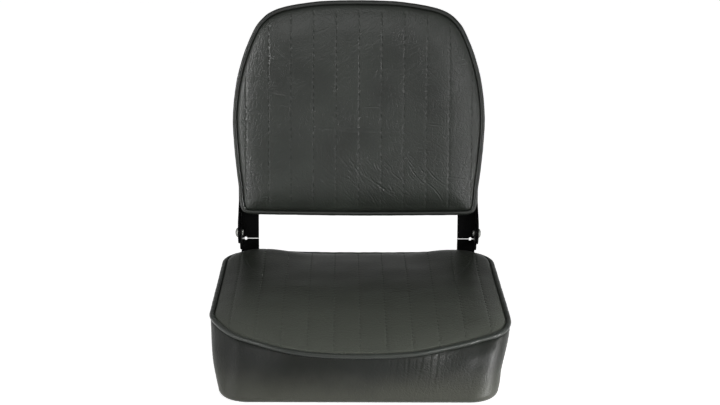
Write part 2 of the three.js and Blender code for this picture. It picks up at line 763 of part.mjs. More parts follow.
function lowerBracket(side) {
  const front = flangeFront;
  const rear = front + plateThickness;
  const sideLow = seatSideHeight + weltRadius + hingeOverWelt;
  const blank = foldedBlank(side, lowerOuter, front, lowerEnd - overrun, pivotHeight + upperLobe);
  const flange = prismY(rearFlangeOutline(side, lowerOuter, lowerEnd, slitLow, false),
    front - gap, rear + gap);
  const stopAt = (along) => {
    const behind = pivotToFlange - stopClearance;
    return [
      pivotY + behind * Math.cos(backLean) + along * Math.sin(backLean),
      pivotHeight - behind * Math.sin(backLean) + along * Math.cos(backLean)];
  };
  const stopBottom = -(pivotHeight - slitLow) + plateThickness;
  const sideOutline = [
    [rear + gap, sideLow],
    [rear + gap, slitLow],
    stopAt(stopBottom),
    stopAt(0),
    ...arcPoints([pivotY, pivotHeight], lowerLobe, Math.PI / 6, Math.PI, lobeSteps),
    [pivotY - lowerLobe, sideLow + plateCorner],
    [pivotY - lowerLobe + plateCorner, sideLow],
  ];
  const ends = [side * (lowerOuter - bendRadius), side * (lowerOuter + gap)];
  const cheek = prismX(sideOutline, Math.min(...ends), Math.max(...ends));
  const notch = barY(notchRadius, side * (lowerOuter - notchFromFold), slitLow,
    front - overrun, rear + overrun);
  const bores = lowerBoltHeights.map((z) => {
    return barY(boltRadius + boltClearance, side * boltX, z, front - overrun, rear + overrun);
  });
  const pivot = barX(rivetRadius + gap, pivotY, pivotHeight, Math.min(...ends) - overrun,
    Math.max(...ends) + overrun);
  return without(blank.intersect(flange.add(cheek)), [notch, pivot, ...bores]);
}

// The upper bracket is drawn in the backrest's frame: its origin is the pivot, Z runs up the back
const upperLow = -(pivotHeight - slitHigh) / Math.cos(backLean)
  + pivotToFlange * Math.tan(backLean);
const upperHigh = upperLow + upperFlangeLength;
const upperBoltHeights = [upperHigh - upperBoltEdge - upperBoltPitch, upperHigh - upperBoltEdge];

function upperBracket(side) {
  const front = pivotToFlange;
  const rear = front + plateThickness;
  const blank = foldedBlank(side, hingeOuter, front, -upperLobe - overrun, upperHigh + overrun);
  const flange = prismY(rearFlangeOutline(side, hingeOuter, upperLow, upperHigh, true),
    front - gap, rear + gap);
  const sideOutline = [
    [rear + gap, upperLow],
    ...arcPoints([0, 0], upperLobe, Math.PI * 2 + Math.asin(upperLow / upperLobe), Math.PI, lobeSteps),
    [-upperLobe, upperLobe],
    [front - upperLipDepth, upperHigh / 2],
    [front - upperLipDepth, upperHigh - plateCorner],
    [front - upperLipDepth + plateCorner, upperHigh],
    [rear + gap, upperHigh],
  ];
  const ends = [side * (hingeOuter - bendRadius), side * (hingeOuter + gap)];
  const cheek = prismX(sideOutline, Math.min(...ends), Math.max(...ends));
  const notch = barY(notchRadius, side * (lowerOuter - notchFromFold), upperLow,
    front - overrun, rear + overrun);
  const bores = upperBoltHeights.map((z) => {
    return barY(boltRadius + boltClearance, side * boltX, z, front - overrun, rear + overrun);
  });
  const pivot = barX(rivetRadius + gap, 0, 0, Math.min(...ends) - overrun,
    Math.max(...ends) + overrun);
  return without(blank.intersect(flange.add(cheek)), [notch, pivot, ...bores]);
}

// Fasteners

// A bolt along Y: the head's underside is at the given place, the shank runs forward from it
function bolt(side, z, underHead, tip) {
  const profile = [
    [0, tip], [boltRadius, tip], [boltRadius, underHead], [boltHeadRadius, underHead],
    [boltHeadRadius, underHead + boltHeadHeight / 2],
    [boltHeadRadius * headTopShare, underHead + boltHeadHeight], [0, underHead + boltHeadHeight],
  ];
  return toSolid(revolved(profile, smallSides).translate(side * boltX, 0, z));
}

// A tee nut along Y: the flange lies in front of its seat, the barrel runs rearward into it
function teeNut(side, z, seatAt) {
  const bore = boltRadius + gap;
  const profile = [
    [bore, seatAt - teeFlangeThickness], [teeFlangeRadius, seatAt - teeFlangeThickness],
    [teeFlangeRadius, seatAt], [teeBarrelRadius, seatAt],
    [teeBarrelRadius, seatAt + teeBarrelLength], [bore, seatAt + teeBarrelLength],
    [bore, seatAt - teeFlangeThickness],
  ];
  return toSolid(revolved(profile, smallSides).translate(side * boltX, 0, z));
}

function threadedInsert(x, y) {
  const low = hemLift;
  const profile = [
    [insertBore, low], [insertRadius, low], [insertRadius, low + insertLength],
    [insertBore, low + insertLength], [insertBore, low],
  ];
  return toSolid(revolved(profile, smallSides).rotateX(Math.PI / 2).translate(x, y, 0));
}

// Along X from the inside out: flat tail, shank through both plates, domed head
function pivotRivet(side) {
  const tail = lowerOuter - plateThickness - plateClearance;
  const head = hingeOuter + plateClearance;
  const profile = [
    [0, tail - rivetTailHeight], [rivetTailRadius * tailTopShare, tail - rivetTailHeight],
    [rivetTailRadius, tail - rivetTailHeight / 2], [rivetTailRadius, tail],
    [rivetRadius, tail], [rivetRadius, head], [rivetHeadRadius, head],
  ];
  const domeSteps = 4;
  for (let i = 1; i <= domeSteps; i += 1) {
    const turn = (Math.PI / 2) * (i / domeSteps);
    const radius = i === domeSteps ? 0 : rivetHeadRadius * Math.cos(turn);
    profile.push([radius, head + rivetHeadHeight * Math.sin(turn)]);
  }
  const spun = revolved(profile, roundSides).rotateZ(-side * Math.PI / 2);
  return toSolid(spun.translate(0, pivotY, pivotHeight));
}

function pivotWasher(side) {
  const near = lowerOuter + plateClearance;
  const profile = [
    [rivetRadius + gap, near], [washerRadius, near], [washerRadius, near + washerThickness],
    [rivetRadius + gap, near + washerThickness], [rivetRadius + gap, near],
  ];
  const spun = revolved(profile, roundSides).rotateZ(-side * Math.PI / 2);
  return toSolid(spun.translate(0, pivotY, pivotHeight));
}

// Backrest


const backPlan = backOutline();
const coverLow = 0;
const coverHigh = coverThickness;

const backCushion = {
  outline: backPlan,
  top: inset(backPlan, weltProud),
  base: inset(backPlan, backTaper),
  weltAt: () => backRear,
  hemFloor: coverHigh + gap,
  hemWidth: backHemWidth,
  hemRound: backHemRound,
  bulgeAt: () => backBulge,
  pitch: backPleatPitch,
  halfCount: Math.floor((backWidth / 2 - weltRadius * 2 - pleatBorder) / backPleatPitch),
  reach: backCrownReach,
  highest: backRear + backCrown + pleatRise,
  surfaceAt: (x, y) => backRear + backCrown * crownShare(backPlan, x, y, backCrownReach),
};

const boardLow = coverHigh + gap;
const boardHigh = boardLow + boardThickness;

function alongBack(heights, make) {
  return hingeSides.flatMap(([, side]) => heights.flatMap((z) => make(side, z - backOverPivot)));
}

function backBoard() {
  const bores = alongBack(upperBoltHeights, (side, y) => [
    barZ(boltRadius + boltClearance, side * boltX, y, -overrun, boardHigh + overrun),
    barZ(teeBarrelRadius + gap, side * boltX, y, boardHigh - teeBarrelLength - gap,
      boardHigh + overrun),
  ]);
  return without(chassis(backCushion, boardLow, boardHigh), bores);
}

function backFoam() {
  const room = alongBack(upperBoltHeights, (side, y) => [
    barZ(teeFlangeRadius + gap, side * boltX, y, boardHigh - overrun, boardHigh + teeReach),
    barZ(boltRadius + gap * 2, side * boltX, y, boardHigh, boardHigh + teeReach + boltTip + gap),
  ]);
  return without(foamBlock(backCushion, boardHigh + gap), room);
}

function rearCover() {
  const plate = prismZ(inset(backCushion.base, coverInset), coverLow, coverHigh);
  const holes = alongBack(upperBoltHeights, (side, y) => {
    return [barZ(boltRadius + boltClearance, side * boltX, y, -overrun, overrun)];
  });
  return without(plate, holes);
}

// Assembly

const group = new THREE.Group();

const seat = new THREE.Group();
group.add(seat);
addPiece(seat, 'seat_pan', seatPan(), plastic);
addPiece(seat, 'seat_foam', seatFoam(), foam);
addPiece(seat, 'seat_top_panel', pleatedPanel(seatCushion), vinyl);
addPiece(seat, 'seat_boxing', seatBoxing(), vinyl);
addPiece(seat, 'seat_welt', welt(seatCushion), welting);
bossPlaces.forEach(([name, x, y]) => addPiece(seat, name, threadedInsert(x, y), brass));
hingeSides.forEach(([name, side]) => {
  addPiece(seat, `hinge_lower_${name}`, lowerBracket(side), paint);
  addPiece(seat, `pivot_rivet_${name}`, pivotRivet(side), steel);
  addPiece(seat, `pivot_washer_${name}`, pivotWasher(side), nylon);
  lowerBoltHeights.forEach((z, k) => {
    const underHead = flangeFront + plateThickness;
    const tip = towerFront - teeFlangeThickness - boltTip;
    addPiece(seat, `lower_bolt_${name}_${k + 1}`, bolt(side, z, underHead, tip), steel);
    addPiece(seat, `lower_tee_nut_${name}_${k + 1}`, teeNut(side, z, towerFront), steel);
  });
});

// The backrest stands on the pivots and leans back
const backrest = new THREE.Group();
backrest.position.set(0, pivotY, pivotHeight);
backrest.rotation.x = -backLean;
group.add(backrest);

// In the cushion's own frame Y runs up the back and Z points to the front
const rearFace = pivotToFlange - gap;
const backPad = new THREE.Group();
backPad.position.set(0, rearFace, backOverPivot);
backPad.rotation.x = Math.PI / 2;
backrest.add(backPad);
addPiece(backPad, 'back_board', backBoard(), plastic);
addPiece(backPad, 'back_foam', backFoam(), foam);
addPiece(backPad, 'back_front_panel', pleatedPanel(backCushion), vinyl);
addPiece(backPad, 'back_boxing', boxing(backCushion), vinyl);
addPiece(backPad, 'back_welt', welt(backCushion), welting);
addPiece(backPad, 'back_rear_cover', rearCover(), vinyl);
hingeSides.forEach(([name, side]) => {
  addPiece(backrest, `hinge_upper_${name}`, upperBracket(side), paint);
  upperBoltHeights.forEach((z, k) => {
    const underHead = pivotToFlange + plateThickness + plateClearance;
    const boardFront = rearFace - boardHigh - plateClearance;
    const tip = boardFront - teeFlangeThickness - boltTip;
    addPiece(backrest, `upper_bolt_${name}_${k + 1}`, bolt(side, z, underHead, tip), steel);
    addPiece(backrest, `upper_tee_nut_${name}_${k + 1}`, teeNut(side, z, boardFront), steel);
  });
});

export default group;
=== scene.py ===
import math

import bpy
import numpy as np
from mathutils import Matrix, Vector
from mathutils.bvhtree import BVHTree
from mathutils.kdtree import KDTree


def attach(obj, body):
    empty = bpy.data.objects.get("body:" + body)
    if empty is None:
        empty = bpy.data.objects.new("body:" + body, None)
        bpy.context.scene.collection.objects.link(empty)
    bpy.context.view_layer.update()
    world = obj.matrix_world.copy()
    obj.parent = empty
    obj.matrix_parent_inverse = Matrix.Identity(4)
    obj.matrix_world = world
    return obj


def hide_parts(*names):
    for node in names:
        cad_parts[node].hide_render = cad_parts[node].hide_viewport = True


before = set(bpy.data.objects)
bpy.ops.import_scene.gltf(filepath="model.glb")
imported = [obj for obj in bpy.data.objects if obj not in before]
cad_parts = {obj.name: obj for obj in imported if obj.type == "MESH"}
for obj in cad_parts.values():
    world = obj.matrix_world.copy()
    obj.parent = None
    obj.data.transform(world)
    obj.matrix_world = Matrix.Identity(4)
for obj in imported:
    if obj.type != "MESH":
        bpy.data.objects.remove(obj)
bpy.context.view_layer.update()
print("frame loaded", len(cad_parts), "nodes")

mm = 0.001  # sizes below are in millimetres
backLean = math.radians(8)
pivot = np.array([0.0, 192.0, 120.7])
backRise, backSetback = 30.7, 17.5  # from the pivot to the back's lower edge and rear face


# Small helpers for shapes

def smoothstep(value, low, high):
    t = np.clip((np.asarray(value, float) - low) / (high - low), 0, 1)
    return t * t * (3 - 2 * t)


def closedFromHalf(half):
    # half runs from the middle of the front edge to the middle of the rear edge, on the +x side
    other = half[1:-1][::-1] * [-1, 1]
    return np.vstack([half, other])


def outwardNormals(ring):
    along = np.roll(ring, -1, axis=0) - np.roll(ring, 1, axis=0)
    normal = np.stack([along[:, 1], -along[:, 0]], axis=1)
    return normal / np.linalg.norm(normal, axis=1)[:, None]


def inset(ring, distance):
    return ring - outwardNormals(ring) * np.reshape(distance, (-1, 1))


def distanceInside(ring, points):
    # how far each plan point is from the outline
    coarse = ring[:: max(1, len(ring) // 300)]
    start, step = coarse, np.roll(coarse, -1, axis=0) - coarse
    size = (step ** 2).sum(axis=1)
    nearest = np.full(len(points), 1e9)
    for first in range(0, len(points), 20000):
        part = points[first:first + 20000]
        to = part[:, None, :] - start[None]
        t = np.clip((to * step[None]).sum(axis=2) / size, 0, 1)
        away = to - step[None] * t[..., None]
        nearest[first:first + 20000] = np.sqrt((away ** 2).sum(axis=2).min(axis=1))
    return nearest


def meshPiece(name, points, faces):
    mesh = bpy.data.meshes.new(name)
    mesh.from_pydata((np.asarray(points) * mm).tolist(), [], faces)
    mesh.validate()
    for polygon in mesh.polygons:
        polygon.use_smooth = True
    piece = bpy.data.objects.new(name, mesh)
    bpy.context.scene.collection.objects.link(piece)
    return piece


def bandFaces(rows, columns, loopRows=False):
    # quads over closed rows of points; loopRows joins the last row to the first
    faces = []
    for row in range(rows if loopRows else rows - 1):
        for column in range(columns):
            after = (column + 1) % columns
            above = (row + 1) % rows
            faces.append((row * columns + column, row * columns + after,
                          above * columns + after, above * columns + column))
    return faces


def placeOnSeat(points):
    return points


def placeOnBack(points):
    # from the back cushion's own plan (x, up, thickness) to the seat's frame
    x, up, thick = points[:, 0], points[:, 1] + backRise, backSetback - points[:, 2]
    c, s = math.cos(backLean), math.sin(backLean)
    return np.stack([x, pivot[1] + thick * c + up * s, pivot[2] - thick * s + up * c], axis=1)


# Plans of the two cushions, in millimetres

seat = {
    "width": 431.6, "depth": 419.0,  # over the welt
    "sideHeight": 85.8, "frontDrop": 15.6, "rearDrop": 6.0,
    "bow": 76.0, "cornerWidth": 48.0, "cornerDepth": 125.0,
    "rearTaper": 2.5, "rearCorner": 67.0,
    "crown": 8.0, "crownReach": 42.0, "bolster": 8.0, "bolsterReach": 150.0,
    "frontRoll": 6.0, "rollAhead": (-60.0, 70.0, 95.0, 204.0),  # it rises, holds and falls
    "seamDepth": 3.4,
    "pitch": 36.7, "taper": 22.0, "frontTaper": 0.5, "baseCorner": 42.0,
    "bulge": 2.0, "hemWidth": 22.0, "hemRound": 9.0, "hemLift": 0.6,
    # the right front corner's pull grows across, and fades behind the front edge
    "cornerPull": 26.0, "pullAcross": (165.0, 212.0), "pullBehind": (90.0, 190.0),
    # places where the edge falls back: how far, where across, width
    "slack": ((4.0, 122.0, 28.0), (5.0, -152.0, 40.0)),
    # the cover sits a little to the left on its pan, at the lower front
    "leftOut": 4.0, "rightIn": 2.5, "outAcross": (60.0, 190.0), "inAbove": (12.0, 34.0),
}
back = {
    "width": 396.2, "height": 338.0, "rear": 28.3,
    "crown": 13.0, "crownReach": 48.0, "pitch": 35.4,
    "taper": 5.0, "sag": 1.5, "bulge": 0.8, "hemWidth": 7.0, "hemRound": 5.0,
    "hemFloor": 1.8, "seamDepth": 2.2,
}
cover = {
    "weltRadius": 3.6, "weltProud": 1.6, "weltStations": 900, "stations": 1200, "rings": 130,
    "tuck": 0.9, "seamWidth": 1.5, "freeFrom": 12.0,  # where the panel runs in under its welt
    "pinch": 1.6, "pinchReach": 1.8,  # where the boxing runs up to its welt
    "puff": 0.3, "endPuff": 9.0,  # of a channel, and beyond the last one
    "groove": 0.24, "grooveWidth": 1.4,  # along each sewn line
    "dimple": 0.4, "dimpleAcross": 1.5, "dimpleAlong": 1.7, "dimpleFrom": (3.0, 9.0),
    "stitchPitch": 11.0, "stitchLength": 7.0, "threadRadius": 0.4,
    "threadFlat": 1.25, "dive": 0.75, "sunk": 0.12, "laid": 0.25, "endThin": 0.35,
    "channels": 5,  # each side of the middle line
    "swellLength": 85.0,
}


def seatOutline(halfWidth, front, rear, bow, cornerWidth, cornerDepth, rearRadius,
                steps=(150, 100, 110, 60)):
    # a rounded seat plan, whose front edge sweeps back toward the corners
    edge, corner, side, behind = steps
    turn = np.linspace(0, math.pi / 2, corner + 1)
    middleFront = np.linspace(0, halfWidth - cornerWidth, edge + 1)[:-1]
    sideY = np.linspace(front + cornerDepth, rear - rearRadius, side + 1)[1:-1]
    middleRear = np.linspace(halfWidth - rearRadius, 0, behind + 1)[1:]
    x = np.concatenate([middleFront, halfWidth - cornerWidth * (1 - np.sin(turn)),
                        np.full(len(sideY), halfWidth),
                        halfWidth - rearRadius * (1 - np.cos(turn)), middleRear])
    y = np.concatenate([np.full(len(middleFront), front), front + cornerDepth * (1 - np.cos(turn)),
                        sideY, rear - rearRadius * (1 - np.sin(turn)),
                        np.full(len(middleRear), rear)])
    widest = front + cornerDepth
    swept = np.clip((widest - y) / cornerDepth, 0, 1)
    drawnIn = x / halfWidth * seat["rearTaper"] * np.clip((y - widest) / (rear - widest), 0, 1)
    y = y + bow * (x / halfWidth) ** 2.6 * swept
    return closedFromHalf(np.stack([x - drawnIn, y], axis=1))


backOutlineShares = np.array([
    [0, 0], [0.45, 0.001], [0.8, 0.002], [0.89, 0.006], [0.93, 0.022], [0.948, 0.062],
    [0.957, 0.13], [0.98, 0.249], [0.999, 0.398], [0.997, 0.498], [0.968, 0.627], [0.91, 0.752],
    [0.83, 0.862], [0.765, 0.913], [0.69, 0.946], [0.56, 0.972], [0.3, 0.995], [0, 1]])


def backOutline(steps=340):
    across, up = backOutlineShares.T
    sag = back["sag"] * (1 - across ** 2) * (1 - up) ** 8
    points = np.stack([across * back["width"] / 2, up * back["height"] - sag], axis=1)
    last = len(points) - 1
    half = []
    for t in np.linspace(0, last, steps + 1):
        i = min(int(t), last - 1)
        u = t - i
        a, b = points[max(i - 1, 0)], points[i]
        c, d = points[i + 1], points[min(i + 2, last)]
        half.append(0.5 * (2 * b + (c - a) * u + (2 * a - 5 * b + 4 * c - d) * u ** 2
                           + (3 * b - a - 3 * c + d) * u ** 3))
    half[-1][0] = 0
    return closedFromHalf(np.array(half))


def evenly(ring, count):
    # the same closed outline with its points an even way apart
    loop = np.vstack([ring, ring[:1]])
    run = np.concatenate([[0], np.cumsum(np.linalg.norm(np.diff(loop, axis=0), axis=1))])
    at = np.linspace(0, run[-1], count, endpoint=False)
    return np.stack([np.interp(at, run, loop[:, 0]), np.interp(at, run, loop[:, 1])], axis=1)


def softened(ring, passes=6):
    # takes the last small kinks out of an outline
    for _ in range(passes):
        ring = (np.roll(ring, 1, axis=0) + 2 * ring + np.roll(ring, -1, axis=0)) / 4
    return ring


seatFront, seatRear = -seat["depth"] / 2, seat["depth"] / 2
seatTop = seatOutline(seat["width"] / 2, seatFront, seatRear, seat["bow"],
                      seat["cornerWidth"], seat["cornerDepth"], seat["rearCorner"])


def pulledAskew(ring):
    # the cover was pulled on by hand: its right front corner sits forward, and beside
    # each front corner the edge falls back a little
    x, y = ring.T
    full, gone = seat["pullBehind"]
    ahead = 1 - smoothstep(y, seatFront + full, seatFront + gone)
    forward = seat["cornerPull"] * smoothstep(x, *seat["pullAcross"])
    back = sum(depth * np.exp(-((x - middle) / width) ** 2)
               for depth, middle, width in seat["slack"])
    return np.stack([x, y + ahead * (back - forward)], axis=1)


seatTop = pulledAskew(seatTop)
seatBase = seatOutline(seat["width"] / 2 - seat["taper"], seatFront + seat["frontTaper"],
                       seatRear - cover["weltProud"], 0, seat["baseCorner"],
                       seat["baseCorner"], seat["baseCorner"])
backTop = backOutline()


def seatWelt(x, y):
    # height of the seat's welt, and of the plane that its panel starts from
    across = np.minimum(1, np.abs(x) / (seat["width"] / 2 - cover["weltRadius"]))
    dip = 1 - across ** 2.2
    forward = smoothstep(-y, seatFront * 0.3, -seatFront * 0.75)
    rearward = smoothstep(y, 0, seatRear)
    lowered = seat["sideHeight"] - seat["frontDrop"] * dip * forward
    return lowered - seat["rearDrop"] * dip * rearward


def backWelt(x, y):
    return np.full(np.shape(x), back["rear"])


def crowned(inside, reach, fullness=2.0):
    rest = 1 - np.clip(inside / reach, 0, 1)
    return np.sqrt(1 - rest ** fullness)


def evenedRound(values, count, reach=14):
    # each ring's heights averaged along it, so that no ridge runs in from a corner
    rings = values.reshape(-1, count)
    shifts = np.arange(-2 * reach, 2 * reach + 1)
    weights = np.exp(-(shifts / reach) ** 2)
    total = sum(weight * np.roll(rings, shift, axis=1) for weight, shift in zip(weights, shifts))
    return (total / weights.sum()).ravel()


# Stuffing: the closed cover is blown up a little as cloth, and the covers follow its pull

stuffing = {
    "voxel": 5.0, "pressure": 4.0, "frames": 20, "cap": 6.0,
    "every": 3, "sideRows": 16, "topRows": 26,  # points that the closed cover is made of
    "hemInset": 20.0, "hemHeld": 5.0, "seamHeld": 7.0,
    "kept": 0.35, "evenings": 12,  # the plans already hold most of the swell
    "neighbours": 7, "blur": 2.5,
}


def stuffed(name, spec, ring, base, top, weltAt, hemFloor, extraHeight):
    order = slice(None, None, stuffing["every"])
    hem = inset(base, stuffing["hemInset"])[order]
    rows = [np.column_stack([hem, np.full(len(hem), hemFloor)])]
    weltHeight = weltAt(top[:, 0], top[:, 1])[order]
    for share in np.linspace(0, 1, stuffing["sideRows"]):
        plan = (base + (top - base) * share)[order]
        rows.append(np.column_stack([plan, hemFloor + (weltHeight - hemFloor) * share]))
    middle = np.array([0.0, (ring[:, 1].min() + ring[:, 1].max()) / 2])
    for share in 1 - np.linspace(0, 1, stuffing["topRows"])[1:-1]:
        plan = middle + (inset(top, 3)[order] - middle) * share
        full = crowned(distanceInside(ring, plan), spec["crownReach"])
        rows.append(np.column_stack([plan, weltAt(plan[:, 0], plan[:, 1])
                                     + full * (spec["crown"] + extraHeight(plan)) - 1]))
    count = len(rows[0])
    ends = [[*middle, hemFloor], [*middle, rows[-1][:, 2].mean()]]
    points = np.vstack(rows + [ends])
    last = len(points) - 1
    faces = bandFaces(len(rows), count)
    faces += [(last - 1, (i + 1) % count, i) for i in range(count)]
    first = (len(rows) - 1) * count
    faces += [(last, first + i, first + (i + 1) % count) for i in range(count)]
    bun = meshPiece(name, points, faces)
    bpy.context.view_layer.objects.active = bun
    even = bun.modifiers.new("even", "REMESH")
    even.mode, even.voxel_size = "VOXEL", stuffing["voxel"] * mm
    bpy.ops.object.modifier_apply(modifier="even")
    start = np.array([v.co for v in bun.data.vertices]) / mm
    toWelt = distanceInside(ring, start[:, :2])
    atWelt = np.abs(start[:, 2] - weltAt(start[:, 0], start[:, 1])) < stuffing["seamHeld"]
    sewn = (toWelt < stuffing["seamHeld"]) & atWelt
    sewn |= start[:, 2] < hemFloor + stuffing["hemHeld"]
    pins = bun.vertex_groups.new(name="sewn")
    pins.add(np.where(sewn)[0].tolist(), 1.0, "REPLACE")
    cloth = bun.modifiers.new("cloth", "CLOTH")
    cloth.settings.vertex_group_mass = "sewn"
    cloth.settings.use_pressure = True
    cloth.settings.uniform_pressure_force = stuffing["pressure"]
    cloth.settings.effector_weights.gravity = 0
    cloth.point_cache.frame_start, cloth.point_cache.frame_end = 1, stuffing["frames"]
    for moment in range(1, stuffing["frames"] + 1):
        bpy.context.scene.frame_set(moment)
    ready = bun.evaluated_get(bpy.context.evaluated_depsgraph_get())
    move = np.array([v.co for v in ready.data.vertices]) / mm - start
    size = np.linalg.norm(move, axis=1)
    move *= (np.minimum(size, stuffing["cap"]) / np.maximum(size, 1e-6))[:, None]
    print(name, len(start), "points, pull", size.mean().round(2), "largest", size.max().round(2))
    pairs = np.array([edge.vertices for edge in bun.data.edges])
    neighbours = np.bincount(pairs.ravel(), minlength=len(start))[:, None]
    for _ in range(stuffing["evenings"]):
        total = np.zeros_like(move)
        np.add.at(total, pairs[:, 0], move[pairs[:, 1]])
        np.add.at(total, pairs[:, 1], move[pairs[:, 0]])
        move = (move + total / neighbours) / 2
    move *= stuffing["kept"]
    bpy.data.objects.remove(bun)
    bpy.context.scene.frame_set(1)
    tree = KDTree(len(start))
    for i, place in enumerate(start):
        tree.insert(place, i)
    tree.balance()

    def stretch(points):
        total = np.zeros((len(points), 3))
        for i, point in enumerate(points):
            near = tree.find_n(point, stuffing["neighbours"])
            weights = np.array([1 / (away + stuffing["blur"]) ** 2 for _, _, away in near])
            moves = move[[which for _, which, _ in near]]
            total[i] = (moves * weights[:, None]).sum(axis=0) / weights.sum()
        return total

    return stretch


# Sewn covers

def scattered(patches, seed):
    # small creases strewn over the worn places, the same on every run
    generator = np.random.default_rng(seed)
    creases = []
    for (x, y), (wide, high), (angle, turn), (short, long), (shallow, grainValleyShade), count in patches:
        for _ in range(count):
            middle = np.array([x, y]) + generator.normal(0, 0.5, 2) * [wide, high]
            way = math.radians(generator.normal(angle, turn))
            reach = np.array([math.cos(way), math.sin(way)]) * generator.uniform(short, long) / 2
            bend = np.array([-reach[1], reach[0]]) * generator.uniform(-0.5, 0.5)
            creases.append(((middle - reach, middle + bend, middle + reach),
                            generator.uniform(0.8, 1.3), generator.uniform(shallow, grainValleyShade)))
    return creases


def creaseDepth(points, creases):
    # each crease is a bent line with a width, a depth and ends that run out
    depth = np.zeros(len(points))
    for line, width, grainValleyShade in creases:
        line = np.array(line, float)
        length = np.linalg.norm(line[1] - line[0]) + np.linalg.norm(line[2] - line[1])
        count = max(40, int(length / width / 0.5))
        t = np.linspace(0, 1, count)[:, None]
        bent = (1 - t) ** 2 * line[0] + 2 * t * (1 - t) * line[1] + t ** 2 * line[2]
        low, high = bent.min(axis=0) - 4 * width, bent.max(axis=0) + 4 * width
        near = np.where(((points > low) & (points < high)).all(axis=1))[0]
        if not len(near):
            continue
        away = np.linalg.norm(points[near][:, None, :] - bent[None], axis=2)
        which = away.argmin(axis=1)
        fade = np.sin(np.pi * np.clip((which + 1) / (count + 1), 0, 1)) ** 0.7
        distance = away.min(axis=1) / width
        valley, lip = np.exp(-distance ** 2), np.exp(-(distance - 1.8) ** 2)
        depth[near] -= grainValleyShade * fade * (valley - 0.45 * lip)
    return depth


def unevenness(points, size, seed):
    # slow swells, the same on every run
    generator = np.random.default_rng(seed)
    total = np.zeros(len(points))
    for _ in range(9):
        angle, phase = generator.uniform(0, 2 * math.pi, 2)
        length = size * generator.uniform(0.6, 1.8)
        run = points[:, 0] * math.cos(angle) + points[:, 1] * math.sin(angle)
        total += np.sin(2 * math.pi * run / length + phase) / 9 ** 0.5
    return total


def sewnPanel(name, spec, ring, weltAt, extraHeight, creases, swell, place, stretch):
    # the pleated top panel, in rings from its middle out to the seam under the welt
    rim = inset(ring, cover["weltRadius"] * 2 - cover["tuck"])
    rim = evenly(softened(rim), cover["stations"])
    middle = np.array([0.0, (rim[:, 1].min() + rim[:, 1].max()) / 2])
    shares = 1 - (1 - np.linspace(0, 1, cover["rings"])) ** 1.5
    plan = (middle + (rim[None] - middle) * shares[1:, None, None]).reshape(-1, 2)
    plan = np.vstack([middle[None], plan])
    inside = distanceInside(rim, plan)
    inside[-cover["stations"]:] = 0
    full = crowned(inside, spec["crownReach"])
    full[1:] = evenedRound(full[1:], cover["stations"])
    height = weltAt(plan[:, 0], plan[:, 1]) + full * (spec["crown"] + extraHeight(plan))
    height -= spec["seamDepth"] * np.exp(-inside / cover["seamWidth"])
    free = smoothstep(inside, 0, cover["freeFrom"])
    pulled = stretch(np.column_stack([plan, height])) * free[:, None]
    line = np.clip(np.round(plan[:, 0] / spec["pitch"]), -cover["channels"], cover["channels"])
    aside = np.abs(plan[:, 0] - line * spec["pitch"])
    between = np.clip(aside / (spec["pitch"] / 2), 0, 1)
    within = np.abs(plan[:, 0]) < spec["pitch"] * cover["channels"]
    puff = np.where(within, 1 - (1 - between) ** 3, smoothstep(aside, 0, cover["endPuff"]))
    height += cover["puff"] * puff * full
    height -= cover["groove"] * np.exp(-(aside / cover["grooveWidth"]) ** 2)
    hole = plan[:, 1] / cover["stitchPitch"]
    toHole = np.abs(hole - np.round(hole)) * cover["stitchPitch"]
    dimple = np.exp(-(aside / cover["dimpleAcross"]) ** 2 - (toHole / cover["dimpleAlong"]) ** 2)
    height -= cover["dimple"] * dimple * smoothstep(inside, *cover["dimpleFrom"])
    uneven = unevenness(plan, cover["swellLength"], 5)
    height += swell * uneven * full + creaseDepth(plan, creases) * full
    points = np.column_stack([plan, height]) + pulled
    count = cover["stations"]
    faces = [(0, 1 + i, 1 + (i + 1) % count) for i in range(count)]
    faces += [tuple(1 + v for v in face)[::-1] for face in bandFaces(cover["rings"] - 1, count)]
    piece = meshPiece(name, place(points), faces)
    return piece, BVHTree.FromPolygons(points.tolist(), faces)


